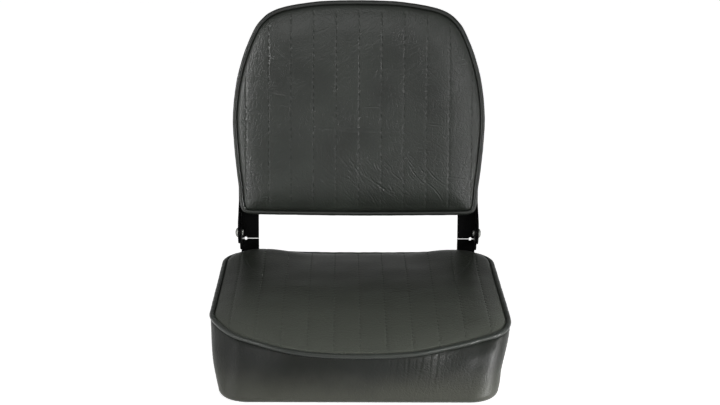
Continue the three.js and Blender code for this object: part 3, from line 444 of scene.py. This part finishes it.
def sewnBoxing(name, spec, base, top, weltAt, hemFloor, pucker, place, stretch):
    # the side band, from its hem under the cushion, round the edge and up to the welt
    rise, turn, under = 44, 9, 5  # rows up the side, round the edge and under the cushion
    r, pinch = spec["hemRound"], cover["pinch"]
    weltHeight = weltAt(top[:, 0], top[:, 1]) - cover["weltRadius"] + 1.0
    run = np.concatenate([[0], np.cumsum(np.linalg.norm(np.diff(top, axis=0), axis=1))])
    rows = []
    for distance in np.linspace(spec["hemWidth"], r, under)[:-1]:
        rows.append(np.column_stack([inset(base, distance), np.full(len(base), hemFloor)]))
    for angle in np.linspace(0, math.pi / 2, turn):
        ring = inset(base, r * (1 - math.sin(angle)))
        height = np.full(len(base), hemFloor + r * (1 - math.cos(angle)))
        rows.append(np.column_stack([ring, height]))
    for share in (1 - (1 - np.linspace(0, 1, rise + 1)) ** 1.3)[1:]:
        height = hemFloor + r + (weltHeight - hemFloor - r) * share
        below = weltHeight - height
        swell = spec["bulge"] * 4 * share * (1 - share)
        swell = swell - pinch * np.exp(-below / cover["pinchReach"])
        ring = inset(base + (top - base) * share, -(swell + pucker(top, run, below)))
        rows.append(np.column_stack([ring, height]))
    for step in (0.35, 1.0):
        ring = inset(top, pinch + pinch * step)
        rows.append(np.column_stack([ring, weltHeight + 0.9 * step]))
    points = np.vstack(rows)
    if "leftOut" in spec:
        out, low = spec["outAcross"], smoothstep(points[:, 2], *spec["inAbove"])
        ahead = smoothstep(-points[:, 1], -150, 0) * smoothstep(80 - points[:, 2], 0, 50)
        points[:, 0] -= spec["leftOut"] * ahead * smoothstep(-points[:, 0], *out)
        points[:, 0] -= spec["rightIn"] * ahead * low * smoothstep(points[:, 0], *out)
    held = smoothstep(points[:, 2], hemFloor + r * 0.5, hemFloor + r * 2)
    held *= smoothstep(np.tile(weltHeight, len(rows)) - points[:, 2], 0, 10)
    points += stretch(points) * held[:, None]
    faces = bandFaces(len(rows), len(base))
    return meshPiece(name, place(points), faces)


def sewnWelt(name, ring, weltAt, place, sides=14):
    # a cord sewn into folded vinyl, with the slight waves that its stitches pull
    r = cover["weltRadius"]
    outline = evenly(softened(ring, 10), cover["weltStations"])
    outward = outwardNormals(outline)
    middle = outline - outward * r
    height = weltAt(middle[:, 0], middle[:, 1])
    run = np.arange(len(outline)) * 1.7  # near enough the length along the cord
    wave = 0.12 * np.sin(run / 7.3) + 0.1 * np.sin(run / 3.1 + 1.3) + 0.14 * np.sin(run / 23)
    rows = []
    for side in range(sides):
        angle = 2 * math.pi * side / sides
        out, up = math.cos(angle) * (r + wave * 0.5), math.sin(angle) * (r + wave * 0.5)
        plan = middle + outward * (out - 0.1)[:, None]
        rows.append(np.column_stack([plan, height + up + wave * 0.4]))
    return meshPiece(name, place(np.vstack(rows)), bandFaces(sides, len(outline), loopRows=True))


def sewnStitches(name, spec, surface, low, high, place):
    # lockstitch thread along each sewn line, diving into its hole at both ends
    points, faces = [], []
    along, around = 7, 6  # points of one stitch
    half, end = cover["stitchLength"] / 2, cover["endThin"]
    for line in range(-cover["channels"], cover["channels"] + 1):
        x = line * spec["pitch"]
        first = math.ceil(low / cover["stitchPitch"])
        for hole in range(first, int(high / cover["stitchPitch"])):
            centre = (hole + 0.5) * cover["stitchPitch"]
            rings = []
            for share in np.linspace(-1, 1, along):
                y = centre + share * half
                hit = surface.ray_cast(Vector((x, y, 200)), Vector((0, 0, -1)))[0]
                if hit is None:
                    break
                dive = cover["dive"] * abs(share) ** 4 + cover["sunk"]
                radius = cover["threadRadius"] * (1 - end * share ** 4)
                for k in range(around):
                    angle = 2 * math.pi * k / around
                    aside = radius * math.cos(angle) * cover["threadFlat"]
                    rings.append((x + aside, y,
                                  hit[2] + radius * math.sin(angle) - dive + cover["laid"]))
            if len(rings) < along * around:
                continue
            start = len(points)
            points += rings
            faces += [tuple(start + v for v in face)[::-1] for face in bandFaces(along, around)]
            faces.append(tuple(start + k for k in range(around)))
            faces.append(tuple(start + (along - 1) * around + k for k in range(around))[::-1])
    return meshPiece(name, place(np.array(points)), faces)


# Finishes

def linear(hexColour):
    # sRGB hex to the linear colour that shaders take
    parts = [int(hexColour[i:i + 2], 16) / 255 for i in (1, 3, 5)]
    return [p / 12.92 if p <= 0.04045 else ((p + 0.055) / 1.055) ** 2.4 for p in parts] + [1]


def perMm(size):
    # texture scale that makes one cell or wave this many millimetres long
    return 1000 / size


def addNode(tree, kind, inputs=None, **settings):
    made = tree.nodes.new(kind)
    for key, value in settings.items():
        setattr(made, key, value)
    for socket, value in (inputs or {}).items():
        if isinstance(value, bpy.types.NodeSocket):
            tree.links.new(value, made.inputs[socket])
        else:
            made.inputs[socket].default_value = value
    return made


def noise(tree, place, size, detail):
    return addNode(tree, "ShaderNodeTexNoise", {"Vector": place, "Scale": perMm(size),
                                                "Detail": detail})


def newFinish(name, **values):
    finish = bpy.data.materials.new(name)
    finish.use_nodes = True
    shader = finish.node_tree.nodes["Principled BSDF"]
    for socket, value in values.items():
        shader.inputs[socket.replace("_", " ")].default_value = value
    place = addNode(finish.node_tree, "ShaderNodeTexCoord").outputs["Object"]
    return finish, finish.node_tree, shader, place


def toneBetween(tree, factor, low, high, darkFrom=0.3, lightFrom=0.7):
    ramp = addNode(tree, "ShaderNodeValToRGB", {"Fac": factor})
    darkEnd, lightEnd = ramp.color_ramp.elements
    darkEnd.position, darkEnd.color = darkFrom, linear(low)
    lightEnd.position, lightEnd.color = lightFrom, linear(high)
    return ramp.outputs["Color"]


def spread(tree, factor, low, high):
    made = addNode(tree, "ShaderNodeMapRange", {"Value": factor, "To Min": low, "To Max": high})
    return made.outputs["Result"]


# PVC-coated knit, embossed and broken in: satin, a fine leather grain, and hair wrinkles that
# run in patches at a slant, with faint upright pull lines
def embossedVinyl(name, dark, light, roughness, grain, wrinkle, paintedLightRamp=None):
    finish, tree, shader, place = newFinish(name, IOR=1.5)
    patches = noise(tree, place, 60, 4)
    # real grain is about 1 mm, drawn at 2.4 mm so that it shows
    cells = addNode(tree, "ShaderNodeTexVoronoi", {"Vector": place, "Scale": perMm(2.4)},
                    feature="SMOOTH_F1")
    pores = noise(tree, place, 1.6, 3)
    sway = noise(tree, place, 24, 2)
    bent = addNode(tree, "ShaderNodeVectorMath", {
        0: sway.outputs["Color"], 1: [16 * mm] * 3, 2: place}, operation="MULTIPLY_ADD")
    last = None
    # real hair wrinkles are 2 to 4 mm apart, drawn wider so that they show
    for way, across, along, patch, shift in (((0.62, 0.45, -0.64), 5.5, 30, 80, 0.0),
                                             ((0.75, 0.2, 0.55), 6.5, 26, 70, 5.3),
                                             ((0.08, 0.3, 0.95), 5.0, 34, 90, 9.1)):
        lay = Vector(way).rotation_difference(Vector((0, 0, 1))).to_euler()
        turned = addNode(tree, "ShaderNodeVectorRotate", {
            "Vector": bent.outputs["Vector"], "Rotation": lay}, rotation_type="EULER_XYZ")
        drawn = addNode(tree, "ShaderNodeMapping", {
            "Vector": turned.outputs["Vector"], "Location": (shift, 0, 0),
            "Scale": (perMm(across), perMm(across), perMm(along))})
        edges = addNode(tree, "ShaderNodeTexVoronoi", {
            "Vector": drawn.outputs["Vector"], "Scale": 1}, feature="DISTANCE_TO_EDGE")
        line = addNode(tree, "ShaderNodeMapRange", {
            "Value": edges.outputs["Distance"], "From Max": 0.13}, interpolation_type="SMOOTHSTEP")
        moved = addNode(tree, "ShaderNodeMapping", {
            "Vector": place, "Location": (0.1 * shift, 0, 0)})
        handled = noise(tree, moved.outputs["Vector"], patch, 2)
        share = addNode(tree, "ShaderNodeMapRange", {
            "Value": handled.outputs["Fac"], "From Min": 0.42, "From Max": 0.62, "To Min": 0.25},
            interpolation_type="SMOOTHSTEP")
        height = addNode(tree, "ShaderNodeMath", {
            0: line.outputs["Result"], 1: share.outputs["Result"]}, operation="MULTIPLY")
        inputs = {"Height": height.outputs[0], "Strength": wrinkle, "Distance": 0.5 * mm}
        if last:
            inputs["Normal"] = last.outputs["Normal"]
        last = addNode(tree, "ShaderNodeBump", inputs)
    tone = toneBetween(tree, patches.outputs["Fac"], dark, light)
    # the grain's valleys are painted darker, as painted shade in the embossing's hollows
    grainValleyShade = addNode(tree, "ShaderNodeMix", {0: spread(tree, cells.outputs["Distance"], 0.0, 0.22),
                                           6: tone, 7: linear(dark)}, data_type="RGBA")
    colour = grainValleyShade.outputs[2]
    # an optional ramp along one axis toward a lighter tone, as painted light
    if paintedLightRamp:
        axis, first, full, paintedLightTone = paintedLightRamp
        parts = addNode(tree, "ShaderNodeSeparateXYZ", {"Vector": bent.outputs["Vector"]})
        share = addNode(tree, "ShaderNodeMapRange", {
            "Value": parts.outputs[axis], "From Min": first * mm, "From Max": full * mm},
            interpolation_type="SMOOTHSTEP")
        colour = addNode(tree, "ShaderNodeMix", {0: share.outputs["Result"], 6: colour,
                                                 7: linear(paintedLightTone)}, data_type="RGBA").outputs[2]
    tree.links.new(colour, shader.inputs["Base Color"])
    rough = spread(tree, patches.outputs["Fac"], roughness - 0.05, roughness + 0.06)
    tree.links.new(rough, shader.inputs["Roughness"])
    fine = addNode(tree, "ShaderNodeBump", {
        "Height": pores.outputs["Fac"], "Strength": 0.6, "Distance": 0.2 * mm,
        "Normal": last.outputs["Normal"]})
    coarse = addNode(tree, "ShaderNodeBump", {
        "Height": cells.outputs["Distance"], "Strength": grain, "Distance": 0.35 * mm,
        "Normal": fine.outputs["Normal"]}, invert=True)
    tree.links.new(coarse.outputs["Normal"], shader.inputs["Normal"])
    return finish


# Bonded polyester sewing thread: dull, twisted, a shade lighter than the vinyl
def bondedThread(name, dark, light):
    finish, tree, shader, place = newFinish(name, Roughness=0.7, Specular_IOR_Level=0.15)
    twist = addNode(tree, "ShaderNodeTexWave", {"Vector": place, "Scale": perMm(1.2) / 6,
                                                "Distortion": 2}, bands_direction="Y")
    tree.links.new(toneBetween(tree, twist.outputs["Fac"], dark, light),
                   shader.inputs["Base Color"])
    raised = addNode(tree, "ShaderNodeBump", {"Height": twist.outputs["Fac"], "Strength": 0.5,
                                              "Distance": 0.15 * mm})
    tree.links.new(raised.outputs["Normal"], shader.inputs["Normal"])
    return finish


# Sheet steel, black powder coat: an even satin black with a fine orange peel
def powderCoat():
    finish, tree, shader, place = newFinish("steel sheet, black powder coat",
                                            Specular_IOR_Level=0.06)
    peel = noise(tree, place, 1.8, 2)
    dust = noise(tree, place, 25, 5)
    tree.links.new(toneBetween(tree, dust.outputs["Fac"], "#030303", "#070708"),
                   shader.inputs["Base Color"])
    tree.links.new(spread(tree, dust.outputs["Fac"], 0.34, 0.5), shader.inputs["Roughness"])
    raised = addNode(tree, "ShaderNodeBump", {"Height": peel.outputs["Fac"], "Strength": 0.35,
                                              "Distance": 0.12 * mm})
    tree.links.new(raised.outputs["Normal"], shader.inputs["Normal"])
    return finish


# Zinc-plated steel, tumbled: dull grey, cloudy, small pits
def zincPlate():
    finish, tree, shader, place = newFinish("steel, zinc plated", Metallic=1.0)
    cloud = noise(tree, place, 7, 6)
    pits = noise(tree, place, 0.8, 3)
    tree.links.new(toneBetween(tree, cloud.outputs["Fac"], "#7a7b78", "#a9aaa6"),
                   shader.inputs["Base Color"])
    tree.links.new(spread(tree, cloud.outputs["Fac"], 0.36, 0.56), shader.inputs["Roughness"])
    raised = addNode(tree, "ShaderNodeBump", {"Height": pits.outputs["Fac"], "Strength": 0.3,
                                              "Distance": 0.1 * mm})
    tree.links.new(raised.outputs["Normal"], shader.inputs["Normal"])
    return finish


# Brass, turned: fine rings round the bore and a faint tarnish
def turnedBrass():
    finish, tree, shader, place = newFinish("brass, turned", Metallic=1.0)
    rings = addNode(tree, "ShaderNodeTexWave", {"Vector": place, "Scale": perMm(0.9) / 6,
                                                "Distortion": 0.3}, bands_direction="Z")
    tarnish = noise(tree, place, 5, 5)
    tree.links.new(toneBetween(tree, tarnish.outputs["Fac"], "#9c7f3e", "#c9a75c"),
                   shader.inputs["Base Color"])
    tree.links.new(spread(tree, tarnish.outputs["Fac"], 0.28, 0.5), shader.inputs["Roughness"])
    raised = addNode(tree, "ShaderNodeBump", {"Height": rings.outputs["Fac"], "Strength": 0.3,
                                              "Distance": 0.08 * mm})
    tree.links.new(raised.outputs["Normal"], shader.inputs["Normal"])
    return finish


# Polypropylene or nylon, injection moulded: spark-eroded texture, faint flow shading
def mouldedPlastic(name, dark, light, roughness, texture):
    finish, tree, shader, place = newFinish(name, IOR=1.49)
    flow = addNode(tree, "ShaderNodeTexNoise", {"Vector": place, "Scale": perMm(45), "Detail": 4,
                                                "Distortion": 1.2})
    spark = noise(tree, place, 1.3, 3)
    tree.links.new(toneBetween(tree, flow.outputs["Fac"], dark, light),
                   shader.inputs["Base Color"])
    tree.links.new(spread(tree, flow.outputs["Fac"], roughness - 0.05, roughness + 0.07),
                   shader.inputs["Roughness"])
    raised = addNode(tree, "ShaderNodeBump", {"Height": spark.outputs["Fac"], "Strength": texture,
                                              "Distance": 0.15 * mm})
    tree.links.new(raised.outputs["Normal"], shader.inputs["Normal"])
    return finish


coverVinyl = embossedVinyl("vinyl, embossed leather grain", "#232622", "#2c302b",
                           0.34, 0.55, 0.3)
# darker copies of the vinyl, as painted shade; the seat's top turns lighter toward its front as
# painted light, and the boxing turns lighter toward its base as a painted reflection of the floor
seatVinylPaintedLight = embossedVinyl("vinyl, embossed, rubbed at the front", "#21241f", "#282b26",
                          0.38, 0.5, 0.25, ("Y", 100, -195, "#4b4e47"))
# painted shade and painted floor reflection: a darker copy of the vinyl, lighter toward the base
sideVinylPaintedShade = embossedVinyl("vinyl, embossed, rubbed at the base", "#181a16", "#202220",
                          0.44, 0.45, 0.2, ("Z", 66, 8, "#44453e"))
for duller in (seatVinylPaintedLight, sideVinylPaintedShade):
    duller.node_tree.nodes["Principled BSDF"].inputs["Specular IOR Level"].default_value = 0.23
weltVinyl = embossedVinyl("vinyl welt, stretched over cord", "#232723", "#2c302b",
                          0.36, 0.25, 0.12)
# painted shade: a darker copy of the welt vinyl for the back's welt
backWeltShadedVinyl = embossedVinyl("vinyl welt, darker copy for painted shade", "#171a17", "#1f221e",
                              0.36, 0.25, 0.12)
thread = bondedThread("polyester thread, bonded", "#262825", "#3a3c38")
# painted highlight: the seat's stitches take a lighter copy of the same thread
seatThreadLitCopy = bondedThread("polyester thread, lighter copy for painted highlight", "#3a3d39", "#51544e")
blackSteel = powderCoat()
zincSteel = zincPlate()
brass = turnedBrass()
panPlastic = mouldedPlastic("polypropylene, moulded", "#1b1c1b", "#262826", 0.5, 0.5)
whiteNylon = mouldedPlastic("nylon, moulded", "#cfccc0", "#dedbd0", 0.42, 0.3)
print("finishes made", len(bpy.data.materials))


# Cushions

def dressed(piece, finish, body, slotName, *nodes):
    piece.data.materials.append(finish)
    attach(piece, body)
    if nodes:
        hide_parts(*nodes)
    return piece


def seatBolster(plan):
    # raised rear corners beside the hips, and a front that rolls forward to its welt
    aside = smoothstep(np.abs(plan[:, 0]), seat["width"] / 6, seat["width"] / 3)
    rearward = smoothstep(plan[:, 1], seatRear - seat["bolsterReach"], seatRear)
    across = 1 - np.clip(np.abs(plan[:, 0]) / (seat["width"] / 2), 0, 1) ** 3
    rise, full, fall, end = seat["rollAhead"]
    ahead = -plan[:, 1]
    rolled = seat["frontRoll"] * across * smoothstep(ahead, rise, full)
    return seat["bolster"] * aside * rearward + rolled * (1 - smoothstep(ahead, fall, end))


# folds that hang from the front of the welt: where across, width, depth and how far down
seatFolds = [
    (-28, 1.4, 0.25, 9), (-14, 1.2, 0.18, 7), (2, 1.4, 0.21, 8), (18, 1.3, 0.21, 9),
    (31, 1.2, 0.25, 11), (41, 1.3, 0.33, 16), (50, 1.4, 0.36, 20), (59, 1.3, 0.33, 26),
    (66, 1.5, 0.4, 34), (76, 1.4, 0.29, 24), (86, 1.7, 0.36, 32), (97, 1.4, 0.33, 26),
    (107, 1.9, 0.36, 34), (119, 1.4, 0.29, 16), (130, 1.4, 0.25, 12), (139, 1.3, 0.21, 10),
    (-60, 1.5, 0.14, 8), (-96, 1.7, 0.14, 10), (-128, 1.9, 0.18, 12),
]


def seatPucker(top, run, below):
    front = smoothstep(-top[:, 1], 40, 120)
    fallen = np.clip(below, 0, None)
    total = 0.15 * np.sin(run / 2.6 + 1.4 * np.sin(run / 17)) * np.exp(-fallen / 8)
    for x, width, depth, reach in seatFolds:
        away = (top[:, 0] - x - 0.12 * fallen * math.sin(x)) / width
        valley, lip = np.exp(-away ** 2), np.exp(-(away - 1.9) ** 2)
        total = total - depth * (valley - 0.6 * lip) * np.exp(-fallen / reach)
    # slack vinyl stands out in a soft lobe below the welt at the right-hand corner
    lobe = 2.4 * np.exp(-((top[:, 0] - 160) / 26) ** 2 - ((fallen - 17) / 11) ** 2)
    return (total * smoothstep(below, -1, 5) + lobe) * front


def backPucker(top, run, below):
    ripple = np.sin(run / 3.4 + np.sin(run / 19))
    return 0.08 * ripple * np.exp(-np.clip(below, 0, None) / 8)


# single creases, as start, bend and end in the cushion's plan, with width and depth
backCreases = [
    (((-82, 141), (-4, 133), (68, 136)), 1.2, 0.55),
    (((-60, 137), (-20, 143), (14, 139)), 1.0, 0.3),
    (((4, 172), (20, 174), (35, 172)), 1.1, 0.4), (((104, 147), (118, 145), (131, 144)), 1.1, 0.4),
    (((117, 64), (146, 64), (173, 57)), 1.0, 0.4),
    (((76, 103), (100, 107), (128, 102)), 1.0, 0.25),
    (((-139, 196), (-126, 193), (-113, 191)), 1.2, 0.4),
    (((-178, 167), (-160, 163), (-143, 161)), 1.1, 0.4),
    (((-70, 88), (-44, 70), (-22, 48)), 1.1, 0.5), (((-38, 102), (-20, 86), (-5, 62)), 1.1, 0.55),
    (((-23, 102), (-6, 82), (9, 50)), 1.1, 0.5), (((1, 75), (24, 54), (58, 30)), 1.3, 0.7),
    (((79, 83), (86, 66), (102, 53)), 1.0, 0.5), (((107, 77), (118, 60), (136, 50)), 1.1, 0.5),
    (((107, 54), (124, 42), (134, 21)), 1.0, 0.45), (((12, 42), (24, 30), (30, 12)), 1.1, 0.55),
    (((-133, 51), (-122, 46), (-111, 38)), 1.0, 0.45),
    (((-136, 268), (-122, 252), (-108, 247)), 1.2, 0.3),
    (((4, 262), (18, 264), (40, 290)), 1.0, 0.4),
    (((-75, 286), (-56, 290), (-42, 299)), 1.0, 0.35),
]
# patches of small creases: middle, spread, slant and its scatter, lengths, depths, how many
backCreases += scattered([
    ((5, 62), (75, 62), (-46, 13), (12, 34), (0.2, 0.45), 60),
    ((70, 42), (70, 44), (-42, 16), (12, 30), (0.15, 0.4), 26),
    ((-112, 42), (60, 50), (-30, 18), (10, 24), (0.15, 0.35), 24),
    ((-22, 268), (90, 60), (34, 12), (10, 28), (0.15, 0.32), 34),
    ((58, 214), (60, 70), (82, 16), (10, 24), (0.12, 0.28), 26),
    ((-120, 190), (70, 90), (8, 30), (8, 22), (0.1, 0.24), 22),
    ((118, 130), (80, 90), (-5, 34), (8, 22), (0.1, 0.24), 22),
], 11)
seatCreases = [
    (((28, -52), (52, -40), (92, -22)), 1.2, 0.4), (((10, -30), (44, -14), (88, 0)), 1.2, 0.35),
    (((-98, -40), (-70, -30), (-30, -34)), 1.2, 0.25),
    (((-120, 10), (-84, 2), (-52, 6)), 1.2, 0.25),
    (((150, 70), (168, 92), (180, 140)), 1.6, 0.45),
    (((-176, 128), (-170, 92), (-154, 62)), 1.6, 0.4),
    (((140, -138), (160, -126), (180, -112)), 1.3, 0.45),
    (((-180, -118), (-160, -134), (-132, -146)), 1.3, 0.45),
]
seatCreases += scattered([
    ((50, -30), (90, 60), (30, 16), (14, 44), (0.12, 0.3), 30),
    ((-85, -20), (80, 60), (-18, 18), (14, 36), (0.1, 0.26), 22),
    ((150, -128), (50, 26), (34, 18), (10, 26), (0.2, 0.4), 16),
    ((0, -150), (160, 40), (10, 30), (12, 34), (0.1, 0.22), 22),
], 17)

seatSideTop = inset(seatTop, cover["weltProud"])
seatStretch = stuffed("seat-stuffing", seat, seatTop, seatBase, seatSideTop, seatWelt,
                      seat["hemLift"], seatBolster)
seatPanel, seatSurface = sewnPanel("seat-top-panel", seat, seatTop, seatWelt, seatBolster,
                                   seatCreases, 0.35, placeOnSeat, seatStretch)
dressed(seatPanel, seatVinylPaintedLight, "seat", "vinyl_cover", "seat_foam", "seat_top_panel")
seatSide = sewnBoxing("seat-boxing", seat, seatBase, seatSideTop, seatWelt,
                      seat["hemLift"], seatPucker, placeOnSeat, seatStretch)
dressed(seatSide, sideVinylPaintedShade, "seat", "vinyl_cover", "seat_boxing")
seatCord = sewnWelt("seat-welt", seatTop, seatWelt, placeOnSeat)
dressed(seatCord, weltVinyl, "seat", "welt_vinyl", "seat_welt")
seatThread = sewnStitches("seat-stitches", seat, seatSurface, seatFront + 14, seatRear - 12,
                          placeOnSeat)
dressed(seatThread, seatThreadLitCopy, "seat", "vinyl_cover")

backSideTop, backBase = inset(backTop, cover["weltProud"]), inset(backTop, back["taper"])
backStretch = stuffed("back-stuffing", back, backTop, backBase, backSideTop, backWelt,
                      back["hemFloor"], lambda plan: 0.0)
backPanel, backSurface = sewnPanel("back-front-panel", back, backTop, backWelt, lambda plan: 0.0,
                                   backCreases, 0.4, placeOnBack, backStretch)
dressed(backPanel, coverVinyl, "backrest", "vinyl_cover", "back_foam", "back_front_panel")
backSide = sewnBoxing("back-boxing", back, backBase, backSideTop, backWelt,
                      back["hemFloor"], backPucker, placeOnBack, backStretch)
dressed(backSide, coverVinyl, "backrest", "vinyl_cover", "back_boxing")
backCord = sewnWelt("back-welt", backTop, backWelt, placeOnBack)
dressed(backCord, backWeltShadedVinyl, "backrest", "welt_vinyl", "back_welt")
backThread = sewnStitches("back-stitches", back, backSurface, 12, back["height"] - 10, placeOnBack)
dressed(backThread, thread, "backrest", "vinyl_cover")
print("cushions sewn")


# Rear cover: a vinyl panel over thin wadding, its edge turned under

rearCover = {"inset": 9.0, "edge": 1.5, "thickness": 1.5, "lift": 0.02,
             "stations": 500, "rings": 50}


def rearPanel():
    count, lift = rearCover["stations"], rearCover["lift"]
    outline = evenly(softened(inset(backTop, rearCover["inset"])), count)
    middle = np.array([0.0, outline[:, 1].mean()])
    shares = 1 - (1 - np.linspace(0, 1, rearCover["rings"])) ** 1.5
    plan = (middle + (outline[None] - middle) * shares[1:, None, None]).reshape(-1, 2)
    inside = distanceInside(outline, plan)
    inside[-count:] = 0
    height = rearCover["thickness"] * (1 - crowned(inside, rearCover["edge"])) + lift
    points = np.vstack([[[*middle, lift]], np.column_stack([plan, height])])
    faces = [(0, 1 + (i + 1) % count, 1 + i) for i in range(count)]
    faces += [tuple(1 + v for v in face) for face in bandFaces(rearCover["rings"] - 1, count)]
    return meshPiece("back-rear-cover", placeOnBack(points), faces)


dressed(rearPanel(), coverVinyl, "backrest", "vinyl_cover", "back_rear_cover")


# Hardware: the frame's own solids with their pressed and turned edges eased

hardware = {
    "hinge": (blackSteel, 0.45, "black_paint"), "pivot_rivet": (zincSteel, 0.3, "steel"),
    "pivot_washer": (whiteNylon, 0, "nylon"), "pan_insert": (brass, 0.2, "brass"),
    "lower_bolt": (zincSteel, 0.35, "steel"), "upper_bolt": (zincSteel, 0.35, "steel"),
    "lower_tee": (zincSteel, 0, "steel"), "upper_tee": (zincSteel, 0, "steel"),
    "seat_pan": (panPlastic, 0, "moulded_plastic"),
    "back_board": (panPlastic, 0, "moulded_plastic"),
}


def eased(name, solid, finish, width, body, slotName):
    piece = bpy.data.objects.new(name.replace("_", "-"), solid.data.copy())
    bpy.context.scene.collection.objects.link(piece)
    piece.matrix_world = solid.matrix_world
    piece.data.materials.clear()
    bevel = piece.modifiers.new("eased edges", "BEVEL")
    bevel.width, bevel.segments, bevel.limit_method = width * mm, 2, "ANGLE"
    bevel.angle_limit = math.radians(35)
    bevel.harden_normals = True
    return dressed(piece, finish, body, slotName, name)


for name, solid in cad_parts.items():
    for start, (finish, width, slotName) in hardware.items():
        if not name.startswith(start):
            continue
        body = "backrest" if name.startswith(("hinge_upper", "upper_", "back_")) else "seat"
        if width:
            eased(name, solid, finish, width, body, slotName)
        else:
            solid.data.materials.clear()
            solid.data.materials.append(finish)
print("hardware finished")


# Floor, light and camera

studio = {
    "worldLight": 0.3, "floorTone": "#bdbdbd", "floorGlow": 0.8,
    # name: place, aim, width, height, power, spread in degrees
    "lamps": {
        "front softbox": ((-0.25, -1.75, 1.5), (0, 0.1, 0.3), 1.8, 1.2, 2.55, 80),
        "left strip": ((-1.6, -0.9, 0.6), (-0.1, 0.15, 0.35), 0.12, 1.1, 2.4, 70),
        "right strip": ((1.35, -1.85, 0.6), (0.1, 0.15, 0.35), 0.1, 1.1, 1.55, 70),
        "low right": ((1.7, -0.8, 0.3), (0.18, -0.16, 0.04), 0.4, 0.3, 0.9, 24),
        "left rim": ((-1.6, 0.2, 0.7), (0, 0.1, 0.25), 0.4, 1.2, 1.0, 120),
        "right rim": ((1.6, 0.2, 0.7), (0, 0.1, 0.25), 0.4, 1.2, 1.0, 120),
    },
    "camera": (-24.82, -2242.18, 896.44), "pitch": 0.28957, "yaw": -0.01118, "roll": 0.00679,
    "lens": 80.1,
}


def floorFinish():
    finish, tree, shader, place = newFinish("studio floor, matt paper", Roughness=0.9)
    fibre = noise(tree, place, 8, 3)
    tree.links.new(toneBetween(tree, fibre.outputs["Fac"], "#e7e7e7", studio["floorTone"]),
                   shader.inputs["Base Color"])
    rays = addNode(tree, "ShaderNodeLightPath")
    seen = rays.outputs["Is Camera Ray"]
    for kind in ("Is Glossy Ray", "Is Transmission Ray"):
        seen = addNode(tree, "ShaderNodeMath", {0: seen, 1: rays.outputs[kind]},
                       operation="MAXIMUM").outputs[0]
    glow = addNode(tree, "ShaderNodeMath", {0: seen, 1: studio["floorGlow"]},
                   operation="MULTIPLY")
    tree.links.new(glow.outputs[0], shader.inputs["Emission Strength"])
    shader.inputs["Emission Color"].default_value = (1, 1, 1, 1)
    return finish


bpy.ops.mesh.primitive_plane_add(size=16, location=(0, 3, 0))
floor = bpy.context.object
floor.name = "studio floor"
floor.data.materials.append(floorFinish())

world = bpy.data.worlds.new("studio")
bpy.context.scene.world = world
world.use_nodes = True
sky = world.node_tree
rays = addNode(sky, "ShaderNodeLightPath")
level = addNode(sky, "ShaderNodeMapRange", {"Value": rays.outputs["Is Camera Ray"],
                                            "To Min": studio["worldLight"], "To Max": 1.0})
sky.links.new(level.outputs["Result"], sky.nodes["Background"].inputs["Strength"])
sky.nodes["Background"].inputs["Color"].default_value = (1, 1, 1, 1)

for name, (place, aim, width, height, power, angle) in studio["lamps"].items():
    lamp = bpy.data.lights.new(name, "AREA")
    lamp.shape, lamp.size, lamp.size_y, lamp.energy = "RECTANGLE", width, height, power
    lamp.spread = math.radians(angle)
    holder = bpy.data.objects.new(name, lamp)
    holder.location = place
    holder.rotation_euler = (Vector(aim) - Vector(place)).to_track_quat("-Z", "Y").to_euler()
    bpy.context.scene.collection.objects.link(holder)

lens = bpy.data.cameras.new("camera")
lens.lens, lens.sensor_width = studio["lens"], 36
lens.clip_start, lens.clip_end = 0.05, 60
camera = bpy.data.objects.new("camera", lens)
yaw, pitch, roll = studio["yaw"], studio["pitch"], studio["roll"]
level = Vector((-math.sin(yaw), math.cos(yaw), 0))
side = Vector((math.cos(yaw), math.sin(yaw), 0))
ahead = level * math.cos(pitch) - Vector((0, 0, math.sin(pitch)))
upward = level * math.sin(pitch) + Vector((0, 0, math.cos(pitch)))
turnedSide = side * math.cos(roll) + upward * math.sin(roll)
turnedUp = upward * math.cos(roll) - side * math.sin(roll)
camera.matrix_world = Matrix.Translation(Vector(studio["camera"]) * mm) @ Matrix(
    (turnedSide, turnedUp, -ahead)).transposed().to_4x4()
bpy.context.scene.collection.objects.link(camera)
bpy.context.scene.camera = camera
bpy.context.scene.view_settings.view_transform = "Standard"
print("studio ready")
